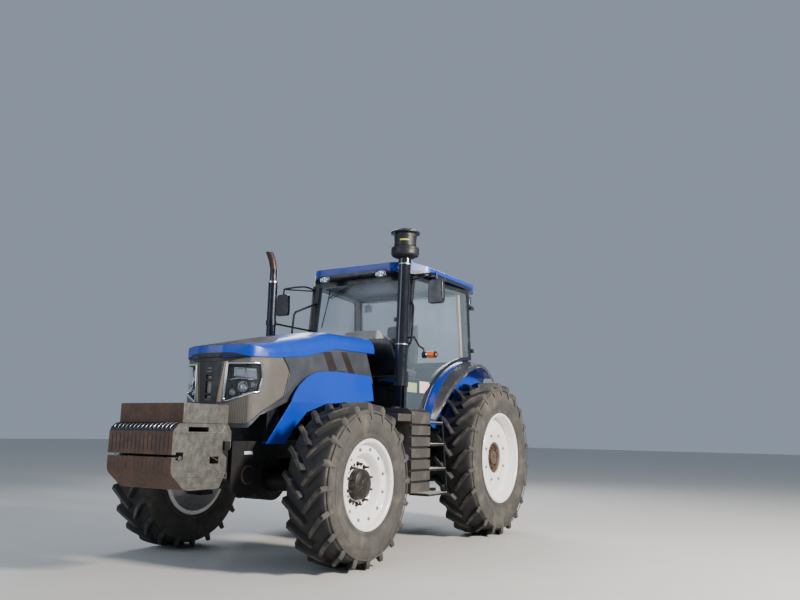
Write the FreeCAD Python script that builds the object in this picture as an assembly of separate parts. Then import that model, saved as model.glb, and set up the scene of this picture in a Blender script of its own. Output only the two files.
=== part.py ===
import FreeCAD
import Part
import math
import os

# Four-wheel-drive farm tractor with a cab, front weights and a rear three-point linkage.
# Millimetres. +X is the tractor's left, -Y is forward, +Z is up.
# The origin is on the ground, under the middle of the whole machine.

V = FreeCAD.Vector

# Overall layout
WHEELBASE = 2760.0
FRONT_OVERHANG = 1410.0
REAR_OVERHANG = 950.0
REAR_AXLE_Y = (FRONT_OVERHANG + WHEELBASE - REAR_OVERHANG) / 2
FRONT_AXLE_Y = REAR_AXLE_Y - WHEELBASE
NOSE_Y = FRONT_AXLE_Y - FRONT_OVERHANG
TAIL_Y = REAR_AXLE_Y + REAR_OVERHANG

# Clearances between pieces that move, that seat, and between a pin and its bore
MOVE_GAP = 8.0
SEAT_GAP = 0.3
PIN_GAP = 0.3

# Front wheels
FRONT_R = 690.0
FRONT_SECTION = 430.0
FRONT_SIDEWALL = 309.0
FRONT_RIM_R = FRONT_R - FRONT_SIDEWALL
FRONT_RIM_W = 400.0
FRONT_TRACK = 2008.0
FRONT_LUGS = 20
FRONT_DISC_X = 66.0
FRONT_HUB_R = 130.0
FRONT_HUB_REACH = 85.0
HUB_FLANGE = 24.0

# Rear wheels
REAR_R = 862.0
REAR_SECTION = 467.0
REAR_SIDEWALL = 354.0
REAR_RIM_R = REAR_R - REAR_SIDEWALL
REAR_RIM_W = 428.0
REAR_TRACK = 1980.0
REAR_LUGS = 22
REAR_DISC_X = 130.0
REAR_HUB_HOLE_R = 175.0
LUG_HEIGHT = 46.0
LUG_HALF_W = 20.0
LUG_FOOT_HALF_W = 30.0
LUG_SWEEP = 0.92
SIDES_PER_LUG = 2
RIM_WALL = 12.0
RIM_LIP = 25.0

# Front axle, steering and driveline
KINGPIN_X = 820.0
KINGPIN_R = 35.0
KNUCKLE_R = 105.0
KNUCKLE_HALF_H = 145.0
DRUM_R = 140.0
FORK_PLATE = 40.0
AXLE_BEAM_R = 80.0
AXLE_WEB_HALF = 55.0
FRONT_DIFF_R = 190.0
TRUNNION_R = 67.0
TRUNNION_REACH = 520.0
STEER_ARM = 200.0
STEER_ROD_R = 17.0
FRAME_HALF_W = 300.0
FRAME_TOP = 1030.0
FRAME_ARCH = 190.0
FRAME_PLATE = 32.0
FRAME_FRONT_Y = -1860.0
FRAME_REAR_Y = -760.0
ENGINE_HALF_W = 270.0
ENGINE_BOTTOM = 700.0
ENGINE_TOP = 1590.0
ENGINE_REAR_Y = -40.0
RADIATOR_Y = -1480.0
RADIATOR_DEPTH = 160.0
RADIATOR_HALF_W = 330.0
GEARBOX_HALF_W = 230.0
GEARBOX_BOTTOM = 590.0
GEARBOX_TOP = 1150.0
REAR_HOUSING_HALF_W = 270.0
REAR_HOUSING_REAR_Y = REAR_AXLE_Y + 290.0
REAR_TRUMPET_R = 125.0
REAR_SHAFT_R = 62.0

# Hood
HOOD_HALF_W = 430.0
HOOD_WALL = 18.0
HOOD_NOSE_Y = -1880.0
HOOD_CORNER_Y = -1765.0
HOOD_CORNER_X = 347.0
HOOD_REAR_Y = 50.0
HOOD_OVERHANG = 14.0
HOOD_PIVOT_Y = 20.0
HOOD_PIVOT_Z = 1960.0
HOOD_EAR_X = 250.0
HINGE_PIN_R = 8.0
NOSE_BOTTOM = 1140.0

# Cab
CAB_FRONT_Y = 270.0
CAB_REAR_Y = 1600.0
CAB_TAPER = 100.0
PILLAR_OVER_FENDER = 50.0
CAB_FLOOR = 1330.0
FLOOR_PLATE = 50.0
CAB_WALL = 40.0
PILLAR = 60.0
COWL_TOP = 2130.0
PILLAR_FOOT_Z = 1830.0
GLASS = 8.0
WINDSCREEN_LEAN = 140.0
REAR_LEAN = -70.0
ROOF_BOTTOM = 2850.0
ROOF_EDGE_TOP = 2960.0
ROOF_CROWN = 3010.0
ROOF_FRONT_Y = 250.0
ROOF_REAR_Y = 1760.0
ROOF_EAVE = 20.0

# Rear mudguards
FENDER_R = 1060.0
FENDER_SHEET = 16.0
FENDER_TYRE_GAP = 16.5
FENDER_INNER_X = REAR_TRACK / 2 - REAR_SECTION / 2 - FENDER_TYRE_GAP
FENDER_RISE = 54.0
FENDER_SHOULDER_X = FENDER_INNER_X + 95
FENDER_FRONT_DEG = 158.0
FENDER_REAR_DEG = 60.0
FENDER_WALL_BOTTOM = 1180.0
ARCH_DEPTH = 56.0
CAB_REAR_HALF_W = FENDER_INNER_X + PILLAR_OVER_FENDER
CAB_FRONT_HALF_W = FENDER_INNER_X - CAB_TAPER
ROOF_HALF_W = CAB_REAR_HALF_W + ROOF_EAVE
FLARE_LIP = 70.0
FLARE_SHEET = 12.0
FLARE_STEP = 7.0
DOOR_ARCH_GAP = 14.0
DOOR_EDGE = 38.0
DOOR_PLATE = 26.0
DOOR_PANE = 6.0
DOOR_SEAL = 6.0
DOOR_BOTTOM = 1290.0

# Front weights
PLATE_COUNT = 16
WEIGHT_HALF_W = 360.0
PLATE_GAP = 2.0
WEIGHT_BOTTOM = 660.0
WEIGHT_TOP = 1165.0
WEIGHT_ROD_R = 13.0
WEIGHT_REAR_Y = -1940.0
BLOCK_FRONT_Y = -2470.0
BLOCK_REAR_Y = -1985.0
BLOCK_TOP = 1320.0

# Rear linkage
LINK_PIVOT_Y = 1700.0
LINK_PIVOT_Z = 600.0
LINK_PIVOT_X = 320.0
LINK_BALL_X = 435.0
LINK_BALL_Z = 560.0
LINK_BALL_R = 40.0
LINK_BORE_R = 18.7
ARM_PIVOT_Y = 1790.0
ARM_PIVOT_Z = 1190.0
ARM_LENGTH = 320.0
ARM_REST_DEG = 10.0
ARM_X = 300.0
ARM_PLATE = 30.0
LINK_PIN_R = 15.0
LIFT_ROD_R = 13.0
LIFT_SLACK = 16.0
TOP_LINK_Y = 1945.0
TOP_LINK_Z = 1010.0
TOP_LINK_LENGTH = 560.0
TOP_PIN_R = 15.7

# Exhaust, air intake and outer fittings
STACK_X = 40.0 - CAB_FRONT_HALF_W
STACK_Y = -410.0
STACK_R = 50.0
STACK_TIP_R = 40.0
STACK_TOP = 3030.0
INTAKE_X = CAB_FRONT_HALF_W + 60
INTAKE_FOOT_Y = 150.0
INTAKE_HEAD_Y = 210.0
INTAKE_R = 67.0
DUCT_Z = 1660.0
CLEANER_BOTTOM = 2975.0
CLEANER_TOP = 3285.0
CLEANER_R = 160.0
MIRROR_X = CAB_FRONT_HALF_W + 400
MIRROR_Y = 300.0
MIRROR_Z = 2600.0
SIGNAL_X = CAB_FRONT_HALF_W + 285
SIGNAL_Y = 230.0
SIGNAL_Z = 1924.0
SIGNAL_R = 34.0
SIGNAL_LENGTH = 155.0

# Tanks and steps
TANK_OUTER_X = CAB_FRONT_HALF_W + 360
TANK_INNER_X = 430.0
TANK_FRONT_Y = -110.0
TANK_BOTTOM = 550.0
TANK_TOP = 1365.0
TANK_RIBS = 6
STEP_INNER_X = CAB_FRONT_HALF_W + 120
STEP_OUTER_X = STEP_INNER_X + 225
STEP_LEVELS = [520.0, 770.0, 1020.0, 1240.0]
STEP_PLATE = 26.0

# Driver's place
DASH_TOP = 2270.0
STEER_WHEEL_R = 200.0
STEER_WHEEL_Y = 830.0
STEER_WHEEL_Z = 2150.0
SEAT_Y = 1180.0
SEAT_TOP = 1900.0


def unit(vector):
    """The vector at length one."""
    copy = V(vector)
    copy.normalize()
    return copy


def outline(corners, place):
    """A closed wire through (u, v, radius) corners, each rounded by its radius."""
    count = len(corners)
    points = [V(u, v, 0) for u, v, _ in corners]
    ends = []
    for index, (_, _, radius) in enumerate(corners):
        here = points[index]
        before = unit(points[index - 1] - here)
        after = unit(points[(index + 1) % count] - here)
        if radius <= 0:
            ends.append((here, None, here))
            continue
        half = before.getAngle(after) / 2
        reach = radius / math.tan(half)
        middle = unit(before + after) * (radius / math.sin(half) - radius)
        ends.append((here + before * reach, here + middle, here + after * reach))
    edges = []
    for index, (start, middle, end) in enumerate(ends):
        if middle is not None:
            arc = Part.Arc(place(start), place(middle), place(end))
            edges.append(arc.toShape())
        following = ends[(index + 1) % count][0]
        if (following - end).Length > 1e-6:
            edges.append(Part.LineSegment(place(end), place(following)).toShape())
    return Part.Wire(edges)


def side_plate(corners, x_low, x_high):
    """A plate drawn in side view as (y, z, radius) corners."""
    wire = outline(corners, lambda p: V(x_low, p.x, p.y))
    return Part.Face(wire).extrude(V(x_high - x_low, 0, 0))


def front_plate(corners, y_low, y_high):
    """A plate drawn in front view as (x, z, radius) corners."""
    wire = outline(corners, lambda p: V(p.x, y_low, p.y))
    return Part.Face(wire).extrude(V(0, y_high - y_low, 0))


def plan_plate(corners, z_low, z_high):
    """A plate drawn from above as (x, y, radius) corners."""
    wire = outline(corners, lambda p: V(p.x, p.y, z_low))
    return Part.Face(wire).extrude(V(0, 0, z_high - z_low))


def box(x_low, x_high, y_low, y_high, z_low, z_high):
    """A block between two corners."""
    size = (x_high - x_low, y_high - y_low, z_high - z_low)
    return Part.makeBox(size[0], size[1], size[2], V(x_low, y_low, z_low))


def bar(start, end, radius):
    """A round bar from one point to another."""
    return Part.makeCylinder(radius, (end - start).Length, start, end - start)


def taper(start, end, start_radius, end_radius):
    """A round bar whose radius changes along its length."""
    return Part.makeCone(start_radius, end_radius, (end - start).Length, start, end - start)


def closed_solid(loops):
    """A solid from flat faces given as loops of corners."""
    faces = []
    for loop in loops:
        corners = [point for place, point in enumerate(loop) if (point - loop[place - 1]).Length > 1e-6]
        if len(corners) > 2:
            faces.append(Part.Face(Part.makePolygon(corners + corners[:1])))
    shell = Part.makeShell(faces)
    shell.sewShape()
    solid = Part.makeSolid(shell)
    if solid.Volume < 0:
        solid.reverse()
    return solid


def tube(points, radius, sides=8):
    """A many-sided bar along points, mitred at each inner point."""
    runs = [unit(high - low) for low, high in zip(points, points[1:])]
    across = unit(runs[0].cross(V(0.21, 0.17, 0.96)))
    upward = runs[0].cross(across)
    section = []
    for index in range(sides):
        angle = 2 * math.pi * (index + 0.5) / sides
        section.append(points[0] + across * (radius * math.cos(angle)) + upward * (radius * math.sin(angle)))
    sections = [section]
    for index, run in enumerate(runs):
        normal = run + runs[index + 1] if index + 1 < len(runs) else run
        here = points[index + 1]
        sections.append([corner + run * ((here - corner).dot(normal) / run.dot(normal))
                         for corner in sections[-1]])
    loops = [sections[0], sections[-1]]
    for low, high in zip(sections, sections[1:]):
        loops += [[low[i - 1], low[i], high[i], high[i - 1]] for i in range(sides)]
    return closed_solid(loops)


def mirror(shape):
    """The same shape on the other side of the tractor."""
    return shape.mirror(V(0, 0, 0), V(1, 0, 0))


def both(shape):
    """A left-hand shape with its right-hand twin."""
    return [shape, mirror(shape)]


def fuse(shapes):
    """One solid from shapes that meet."""
    joined = shapes[0].multiFuse(shapes[1:])
    return joined.removeSplitter()


def export(name, shapes):
    """Write one node, made of one solid or of several that do not touch."""
    solids = []
    for shape in shapes:
        solids.extend(shape.Solids)
    whole = solids[0] if len(solids) == 1 else Part.makeCompound(solids)
    whole.exportStep("parts/" + name + ".step")


def ring(profile, sides, centre):
    """A many-sided ring about an axis along X, from a closed (x, radius) profile.

    A flat side is at the bottom, and each radius is the distance to the sides' middles.
    """
    step = 2 * math.pi / sides
    corners = []
    for index in range(sides):
        angle = step * (index + 0.5)
        across = math.sin(angle) / math.cos(step / 2)
        down = -math.cos(angle) / math.cos(step / 2)
        corners.append([centre + V(x, r * across, r * down) for x, r in profile])
    loops = []
    for index in range(sides):
        this = corners[index]
        following = corners[(index + 1) % sides]
        for low in range(len(profile)):
            high = (low + 1) % len(profile)
            loops.append([this[low], this[high], following[high], following[low]])
    return closed_solid(loops)


def wheel_point(centre, side, x, radius, turn):
    """Point on a wheel: distance to one side, radius, and turn in radians from the lowest point forward."""
    return centre + V(side * x, -radius * math.sin(turn), -radius * math.cos(turn))


def stitch(first, second):
    """Triangles between two closed rings of (turn, point), each sorted by turn."""
    loops = []
    i, j = 0, 0
    while i < len(first) or j < len(second):
        a, b = first[i % len(first)], second[j % len(second)]
        next_a, next_b = first[(i + 1) % len(first)], second[(j + 1) % len(second)]
        turn_a = next_a[0] + 2 * math.pi * (i + 1 >= len(first))
        turn_b = next_b[0] + 2 * math.pi * (j + 1 >= len(second))
        if j >= len(second) or (i < len(first) and turn_a <= turn_b):
            loops.append([a[1], next_a[1], b[1]])
            i += 1
        else:
            loops.append([a[1], next_b[1], b[1]])
            j += 1
    return loops


def tyre(radius, section, rim_radius, rim_width, lugs, centre):
    """A tractor tyre: the body down to its bead seats, and two staggered rows of curved lugs."""
    seat = rim_radius - RIM_LIP + SEAT_GAP
    bead = rim_width / 2 - RIM_WALL - SEAT_GAP
    base = radius - LUG_HEIGHT
    pitch = 2 * math.pi / lugs
    sweep = pitch * LUG_SWEEP
    foot = LUG_FOOT_HALF_W / base
    top = LUG_HALF_W / radius
    inner_x, shoulder_x = 8.0, 0.465 * section

    def turn_of(value):
        return value % (2 * math.pi)

    def ring_points(side, x, r, turns):
        marks = sorted(turn_of(value) for value in turns)
        return [(mark, wheel_point(centre, side, x, r, mark)) for mark in marks]

    loops, middle, seats = [], [], []
    for side, shift in ((1, 0.0), (-1, 0.5)):
        starts = [top + sweep + (index + shift) * pitch for index in range(lugs)]
        inner_turns, outer_turns = [], []
        for index, start in enumerate(starts):
            following = starts[(index + 1) % lugs]

            def spot(x, r, turn):
                return wheel_point(centre, side, x, r, turn_of(turn))

            near, far = start - sweep, start
            low_in, high_in = spot(inner_x, base, near - foot), spot(inner_x, base, near + foot)
            low_out = spot(shoulder_x, base - 25, far - foot)
            high_out = spot(shoulder_x, base - 25, far + foot)
            low_end, high_end = [spot(section / 2, radius - 140, far + way * foot * 0.8) for way in (-1, 1)]
            # top of the lug: x, depth below the tyre's radius, turn
            crest = [(inner_x + 6, 0.0, near), (0.27 * section, 1.0, start - sweep * 0.38),
                     (0.47 * section, 9.0, far)]
            low_top, high_top = [[spot(x, radius - depth, turn + way * top) for x, depth, turn in crest]
                                 for way in (-1, 1)]
            for k in range(2):
                loops.append([low_top[k], low_top[k + 1], high_top[k + 1]])
                loops.append([low_top[k], high_top[k + 1], high_top[k]])
            for row, start_foot, mid_foot, end_foot in ((low_top, low_in, low_out, low_end),
                                                        (high_top, high_in, high_out, high_end)):
                loops.append([start_foot, row[0], row[1]])
                loops.append([start_foot, row[1], mid_foot])
                loops.append([mid_foot, row[1], row[2]])
                loops.append([mid_foot, row[2], end_foot])
            loops.append([low_in, high_in, high_top[0]])
            loops.append([low_in, high_top[0], low_top[0]])
            loops.append([low_top[2], high_top[2], high_end])
            loops.append([low_top[2], high_end, low_end])
            # the body between this lug and the next
            next_in = spot(inner_x, base, following - sweep - foot)
            next_out = spot(shoulder_x, base - 25, following - foot)
            next_end = spot(section / 2, radius - 140, following - foot * 0.8)
            loops.append([high_in, next_in, high_out])
            loops.append([next_in, next_out, high_out])
            loops.append([high_out, next_out, high_end])
            loops.append([next_out, next_end, high_end])
            inner_turns += [near - foot, near + foot]
            outer_turns += [far - foot * 0.8, far + foot * 0.8]
        step = pitch / SIDES_PER_LUG
        wheel_turns = [step * (index + 0.5) for index in range(SIDES_PER_LUG * lugs)]
        wall = ring_points(side, section / 2, radius - 140, outer_turns)
        lip = ring_points(side, bead, (rim_radius + SEAT_GAP) / math.cos(step / 2), wheel_turns)
        inside = ring_points(side, bead, seat / math.cos(step / 2), wheel_turns)
        loops += stitch(wall, lip) + stitch(lip, inside)
        middle.append(ring_points(side, inner_x, base, inner_turns))
        seats.append(inside)
    return closed_solid(loops + stitch(*middle) + stitch(*seats))


def rim(radius, width, disc, sides, centre):
    """A steel rim with its disc; disc is the (x, radius) line of the disc's outer face."""
    barrel = radius - RIM_LIP
    inner = barrel - RIM_WALL
    edge = width / 2
    outer_side = [(-edge, inner), (-edge, radius), (-edge + RIM_WALL, radius),
                  (-edge + RIM_WALL, barrel), (edge - RIM_WALL, barrel),
                  (edge - RIM_WALL, radius), (edge, radius), (edge, inner)]
    back = [(x - 1.3 * RIM_WALL, r) for x, r in disc]
    front_line = [(disc[0][0], inner)] + disc[1:]
    back_line = list(reversed(back[1:])) + [(back[0][0], inner)]
    return ring(outer_side + front_line + back_line, sides, centre)


def front_wheel(side):
    """Tyre, rim and hub of one front wheel; side is 1 on the left and -1 on the right."""
    centre = V(FRONT_TRACK / 2, FRONT_AXLE_Y, FRONT_R)
    ring_x = FRONT_DISC_X + 75
    disc = [(ring_x, FRONT_RIM_R), (ring_x, 255), (FRONT_DISC_X, 215), (FRONT_DISC_X, FRONT_HUB_R + 3)]
    back = FRONT_DISC_X - 1.3 * RIM_WALL - SEAT_GAP
    cap = [(back - HUB_FLANGE, 60), (back - HUB_FLANGE, FRONT_HUB_R + 40), (back, FRONT_HUB_R + 40),
           (back, FRONT_HUB_R), (FRONT_DISC_X + 60, FRONT_HUB_R - 4), (FRONT_DISC_X + FRONT_HUB_REACH, 95),
           (FRONT_DISC_X + FRONT_HUB_REACH, 60)]
    core = bar(centre + V(back - HUB_FLANGE, 0, 0),
               centre + V(FRONT_DISC_X + FRONT_HUB_REACH - 6, 0, 0), 61)
    pieces = [tyre(FRONT_R, FRONT_SECTION, FRONT_RIM_R, FRONT_RIM_W, FRONT_LUGS, centre),
              rim(FRONT_RIM_R, FRONT_RIM_W, disc, FRONT_LUGS * SIDES_PER_LUG, centre),
              fuse([ring(cap, 20, centre), core])]
    return pieces if side > 0 else [mirror(piece) for piece in pieces]


def rear_wheel(side):
    """Tyre, rim and hub of one rear wheel; side is 1 on the left and -1 on the right."""
    centre = V(REAR_TRACK / 2, REAR_AXLE_Y, REAR_R)
    disc = [(REAR_DISC_X - 40, REAR_RIM_R), (REAR_DISC_X, 330), (REAR_DISC_X, REAR_HUB_HOLE_R)]
    flange = [(REAR_DISC_X - 60, REAR_SHAFT_R - 1), (REAR_DISC_X - 60, REAR_HUB_HOLE_R + 30),
              (REAR_DISC_X - 16, REAR_HUB_HOLE_R + 30), (REAR_DISC_X - 16, REAR_HUB_HOLE_R - 30),
              (REAR_DISC_X - 40, REAR_HUB_HOLE_R - 40), (REAR_DISC_X - 40, REAR_SHAFT_R - 1)]
    stub = bar(centre + V(REAR_DISC_X - 60, 0, 0), centre + V(REAR_DISC_X - 10, 0, 0), REAR_SHAFT_R)
    pieces = [tyre(REAR_R, REAR_SECTION, REAR_RIM_R, REAR_RIM_W, REAR_LUGS, centre),
              rim(REAR_RIM_R, REAR_RIM_W, disc, REAR_LUGS * SIDES_PER_LUG, centre),
              fuse([ring(flange, 20, centre), stub])]
    return pieces if side > 0 else [mirror(piece) for piece in pieces]


def knuckle():
    """The left steering knuckle: kingpin body, hub drum and steering arm."""
    centre = V(KINGPIN_X, FRONT_AXLE_Y, FRONT_R)
    body = bar(centre - V(0, 0, KNUCKLE_HALF_H), centre + V(0, 0, KNUCKLE_HALF_H), KNUCKLE_R)
    pin_reach = KNUCKLE_HALF_H + FORK_PLATE
    pin = bar(centre - V(0, 0, pin_reach), centre + V(0, 0, pin_reach), KINGPIN_R)
    drum_x = FRONT_TRACK / 2 + FRONT_DISC_X - 1.3 * RIM_WALL - HUB_FLANGE - 2 * SEAT_GAP
    drum_end = V(drum_x, FRONT_AXLE_Y, FRONT_R)
    drum = bar(centre, drum_end, DRUM_R)
    arm_y = FRONT_AXLE_Y + STEER_ARM
    arm = plan_plate([(KINGPIN_X - 45, FRONT_AXLE_Y, 0), (KINGPIN_X + 45, FRONT_AXLE_Y, 0),
                      (KINGPIN_X + 5, arm_y + 30, 20), (KINGPIN_X - 65, arm_y + 30, 20)],
                     FRONT_R - 22, FRONT_R + 22)
    return fuse([body, pin, drum, arm])


def steering_rod():
    """The steering cylinder's double-ended rod, with an eye above each steering arm."""
    rod_y = FRONT_AXLE_Y + STEER_ARM
    rod_z = FRONT_R + 22 + 16 + 30
    end_x = KINGPIN_X - 30
    rod = bar(V(-end_x, rod_y, rod_z), V(end_x, rod_y, rod_z), STEER_ROD_R)
    eyes = [bar(V(s * end_x, rod_y, rod_z - 30), V(s * end_x, rod_y, rod_z + 30), 30) for s in (1, -1)]
    return fuse([rod] + eyes)


def front_axle():
    """The front axle: centre housing, tapered beams, forks and the steering cylinder."""
    centre = V(0, FRONT_AXLE_Y, FRONT_R)
    web_x = KINGPIN_X - KNUCKLE_R - MOVE_GAP
    housing = bar(centre - V(150, 0, 0), centre + V(150, 0, 0), FRONT_DIFF_R)
    trunnion = bar(centre - V(0, 260, 0), centre + V(0, 330, 0), TRUNNION_R)
    pieces = [housing, trunnion]
    top = KNUCKLE_HALF_H + SEAT_GAP
    for s in (1, -1):
        pieces.append(taper(centre, centre + V(s * (web_x - 20), 0, 0), AXLE_BEAM_R + 40, AXLE_BEAM_R))
        low_x, high_x = sorted((s * (web_x - 40), s * web_x))
        pieces.append(box(low_x, high_x, FRONT_AXLE_Y - AXLE_WEB_HALF, FRONT_AXLE_Y + AXLE_WEB_HALF,
                          FRONT_R - top - FORK_PLATE, FRONT_R + top + FORK_PLATE))
        for level in (FRONT_R + top, FRONT_R - top - FORK_PLATE):
            ear = [(s * (web_x - 40), FRONT_AXLE_Y - 80, 0), (s * (web_x - 40), FRONT_AXLE_Y + 80, 0),
                   (s * (KINGPIN_X + 70), FRONT_AXLE_Y + 80, 60),
                   (s * (KINGPIN_X + 70), FRONT_AXLE_Y - 80, 60)]
            pieces.append(plan_plate(ear, level, level + FORK_PLATE))
    rod_y = FRONT_AXLE_Y + STEER_ARM
    rod_z = FRONT_R + 22 + 16 + 30
    barrel = bar(V(-260, rod_y, rod_z), V(260, rod_y, rod_z), 48)
    bracket = box(-120, 120, FRONT_AXLE_Y + 100, rod_y, rod_z - 25, rod_z + 25)
    body = fuse(pieces + [barrel, bracket])
    bores = [bar(V(s * KINGPIN_X, FRONT_AXLE_Y, 300), V(s * KINGPIN_X, FRONT_AXLE_Y, 1100),
                 KINGPIN_R + PIN_GAP) for s in (1, -1)]
    bores.append(bar(V(-300, rod_y, rod_z), V(300, rod_y, rod_z), STEER_ROD_R + PIN_GAP))
    return body.cut(Part.makeCompound(bores))


def front_frame():
    """The cast bolster that carries the engine's front, the axle and the weights."""
    rails = []
    arch_z = FRONT_R + FRAME_ARCH
    rail = [(FRAME_FRONT_Y, FRAME_TOP, 0), (FRAME_FRONT_Y, FRONT_R - 50, 40),
            (FRAME_FRONT_Y + 120, FRONT_R - 130, 60),
            (FRONT_AXLE_Y - 330, FRONT_R - 90, 60), (FRONT_AXLE_Y - 300, arch_z, 60),
            (FRONT_AXLE_Y + 300, arch_z, 60), (FRONT_AXLE_Y + 330, FRONT_R + 10, 40),
            (FRAME_REAR_Y, FRONT_R + 10, 0), (FRAME_REAR_Y, FRAME_TOP, 0)]
    for s in (1, -1):
        low, high = sorted((s * (FRAME_HALF_W - FRAME_PLATE), s * FRAME_HALF_W))
        rails.append(side_plate(rail, low, high))
    nose = box(-FRAME_HALF_W, FRAME_HALF_W, FRAME_FRONT_Y, FRAME_FRONT_Y + 60, FRONT_R - 50, FRAME_TOP)
    deck = box(-FRAME_HALF_W, FRAME_HALF_W, FRAME_FRONT_Y, FRAME_REAR_Y, FRAME_TOP - 30, FRAME_TOP)
    hangers = []
    for low_y in (FRONT_AXLE_Y - 250, FRONT_AXLE_Y + 268):
        plate = [(-FRAME_HALF_W, FRAME_TOP, 0), (-FRAME_HALF_W, arch_z, 0), (-110, FRONT_R - 90, 60),
                 (110, FRONT_R - 90, 60), (FRAME_HALF_W, arch_z, 0), (FRAME_HALF_W, FRAME_TOP, 0)]
        hangers.append(front_plate(plate, low_y, low_y + 40))
    boss_y = FRONT_AXLE_Y - TRUNNION_REACH
    boss_z = FRONT_R + 60
    bosses = [bar(V(s * (FRAME_HALF_W - FRAME_PLATE), boss_y, boss_z),
                  V(s * (FRAME_HALF_W + 26), boss_y, boss_z),
                  TRUNNION_R) for s in (1, -1)]
    body = fuse(rails + [nose, deck] + hangers + bosses)
    bore = bar(V(0, FRONT_AXLE_Y - 300, FRONT_R), V(0, FRONT_AXLE_Y + 340, FRONT_R), TRUNNION_R + PIN_GAP)
    return body.cut(bore)


def engine():
    """The engine as one plain block with its sump."""
    lower = ENGINE_BOTTOM + 330
    block = box(-ENGINE_HALF_W, ENGINE_HALF_W, FRAME_REAR_Y, ENGINE_REAR_Y, lower, ENGINE_TOP)
    sump = box(-FRAME_HALF_W + FRAME_PLATE, FRAME_HALF_W - FRAME_PLATE, FRAME_REAR_Y, ENGINE_REAR_Y,
               ENGINE_BOTTOM, lower)
    return fuse([block, sump])


def radiator():
    """The cooler pack behind the nose, standing on the front frame."""
    core = box(-RADIATOR_HALF_W, RADIATOR_HALF_W, RADIATOR_Y, RADIATOR_Y + RADIATOR_DEPTH,
               FRAME_TOP, ENGINE_TOP + 60)
    shroud = bar(V(0, RADIATOR_Y + RADIATOR_DEPTH, 1330), V(0, RADIATOR_Y + RADIATOR_DEPTH + 70, 1330), 270)
    return fuse([core, shroud])


def transmission():
    """Clutch housing, gearbox and rear axle centre in one casting, with the cab's rear feet."""
    bell = box(-ENGINE_HALF_W, ENGINE_HALF_W, ENGINE_REAR_Y, ENGINE_REAR_Y + 240,
               GEARBOX_BOTTOM + 60, GEARBOX_TOP)
    gearbox = side_plate([(ENGINE_REAR_Y + 240, GEARBOX_BOTTOM + 60, 0),
                          (ENGINE_REAR_Y + 240, GEARBOX_TOP, 0),
                          (REAR_AXLE_Y - 300, GEARBOX_TOP, 0), (REAR_AXLE_Y - 300, GEARBOX_BOTTOM, 40),
                          (ENGINE_REAR_Y + 420, GEARBOX_BOTTOM, 40)],
                         -GEARBOX_HALF_W, GEARBOX_HALF_W)
    rear = side_plate([(REAR_AXLE_Y - 300, GEARBOX_BOTTOM - 40, 40), (REAR_AXLE_Y - 300, GEARBOX_TOP, 20),
                       (REAR_AXLE_Y + 240, GEARBOX_TOP, 60), (REAR_HOUSING_REAR_Y, GEARBOX_TOP - 120, 30),
                       (REAR_HOUSING_REAR_Y, GEARBOX_BOTTOM - 40, 40)],
                      -REAR_HOUSING_HALF_W, REAR_HOUSING_HALF_W)
    feet = [box(low, low + 120, y, y + 120, GEARBOX_TOP - 60, CAB_FLOOR - FLOOR_PLATE)
            for low in (-220, 100) for y in (CAB_FRONT_Y + 90, CAB_REAR_Y - 240)]
    bearing = side_plate([(ARM_PIVOT_Y - 90, GEARBOX_TOP - 60, 0), (ARM_PIVOT_Y - 50, ARM_PIVOT_Z + 60, 40),
                          (ARM_PIVOT_Y + 50, ARM_PIVOT_Z + 60, 40), (ARM_PIVOT_Y + 90, GEARBOX_TOP - 60, 0)],
                         -REAR_HOUSING_HALF_W + 10, REAR_HOUSING_HALF_W - 10)
    body = fuse([bell, gearbox, rear, bearing] + feet)
    return body.cut(bar(V(-400, ARM_PIVOT_Y, ARM_PIVOT_Z), V(400, ARM_PIVOT_Y, ARM_PIVOT_Z), 34 + PIN_GAP))


def rear_axle():
    """The rear axle's two trumpets with their shafts, one solid a side."""
    inner = V(REAR_HOUSING_HALF_W, REAR_AXLE_Y, REAR_R)
    flange = V(REAR_HOUSING_HALF_W + 60, REAR_AXLE_Y, REAR_R)
    neck = V(REAR_TRACK / 2 - REAR_SECTION / 2 - 20, REAR_AXLE_Y, REAR_R)
    end = V(REAR_TRACK / 2 + REAR_DISC_X - 60 - SEAT_GAP, REAR_AXLE_Y, REAR_R)
    trumpet = fuse([bar(inner, flange, REAR_TRUMPET_R + 60),
                    taper(flange, neck, REAR_TRUMPET_R + 25, REAR_TRUMPET_R),
                    bar(neck, end, REAR_SHAFT_R)])
    return both(trumpet)


# Front edge line of the hood: y, half width, cap edge z, crown z
CAP_SECTIONS = [
    (-1905.0, 430.0, 1733.0, 1832.0),
    (-1500.0, 438.0, 1752.0, 1925.0),
    (-1120.0, 438.0, 1800.0, 2010.0),
    (-640.0, 438.0, 1915.0, 2100.0),
    (60.0, 438.0, 1935.0, 2125.0),
]


# Outline of the cap's cross-section: share of the half width, share of the height above the edge
CAP_CURVE = [(1.0, 0.0), (1.0, 0.25), (0.97, 0.5), (0.9, 0.72), (0.8, 0.85), (0.6, 0.93), (0.3, 0.98),
             (0.0, 1.0)]


def cap_section(y, half, edge, crown, inset):
    """One cross-section of the hood cap, inset by its wall."""
    width = half - inset
    height = crown - edge - inset
    base = edge - (2 if inset else 0)
    right = [V(width * share, y, edge + height * part) for share, part in CAP_CURVE]
    right[0] = V(width, y, base)
    return right + [V(-point.x, y, point.z) for point in reversed(right[:-1])]


def cap_body(inset):
    """The hood cap's outer form, or its hollow when inset by the wall, in flat triangles."""
    sections = [cap_section(*row, inset) for row in CAP_SECTIONS]
    loops = [sections[0], sections[-1]]
    for low, high in zip(sections, sections[1:]):
        for index in range(len(low)):
            loops.append([low[index - 1], low[index], high[index]])
            loops.append([low[index - 1], high[index], high[index - 1]])
    return closed_solid(loops)


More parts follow.
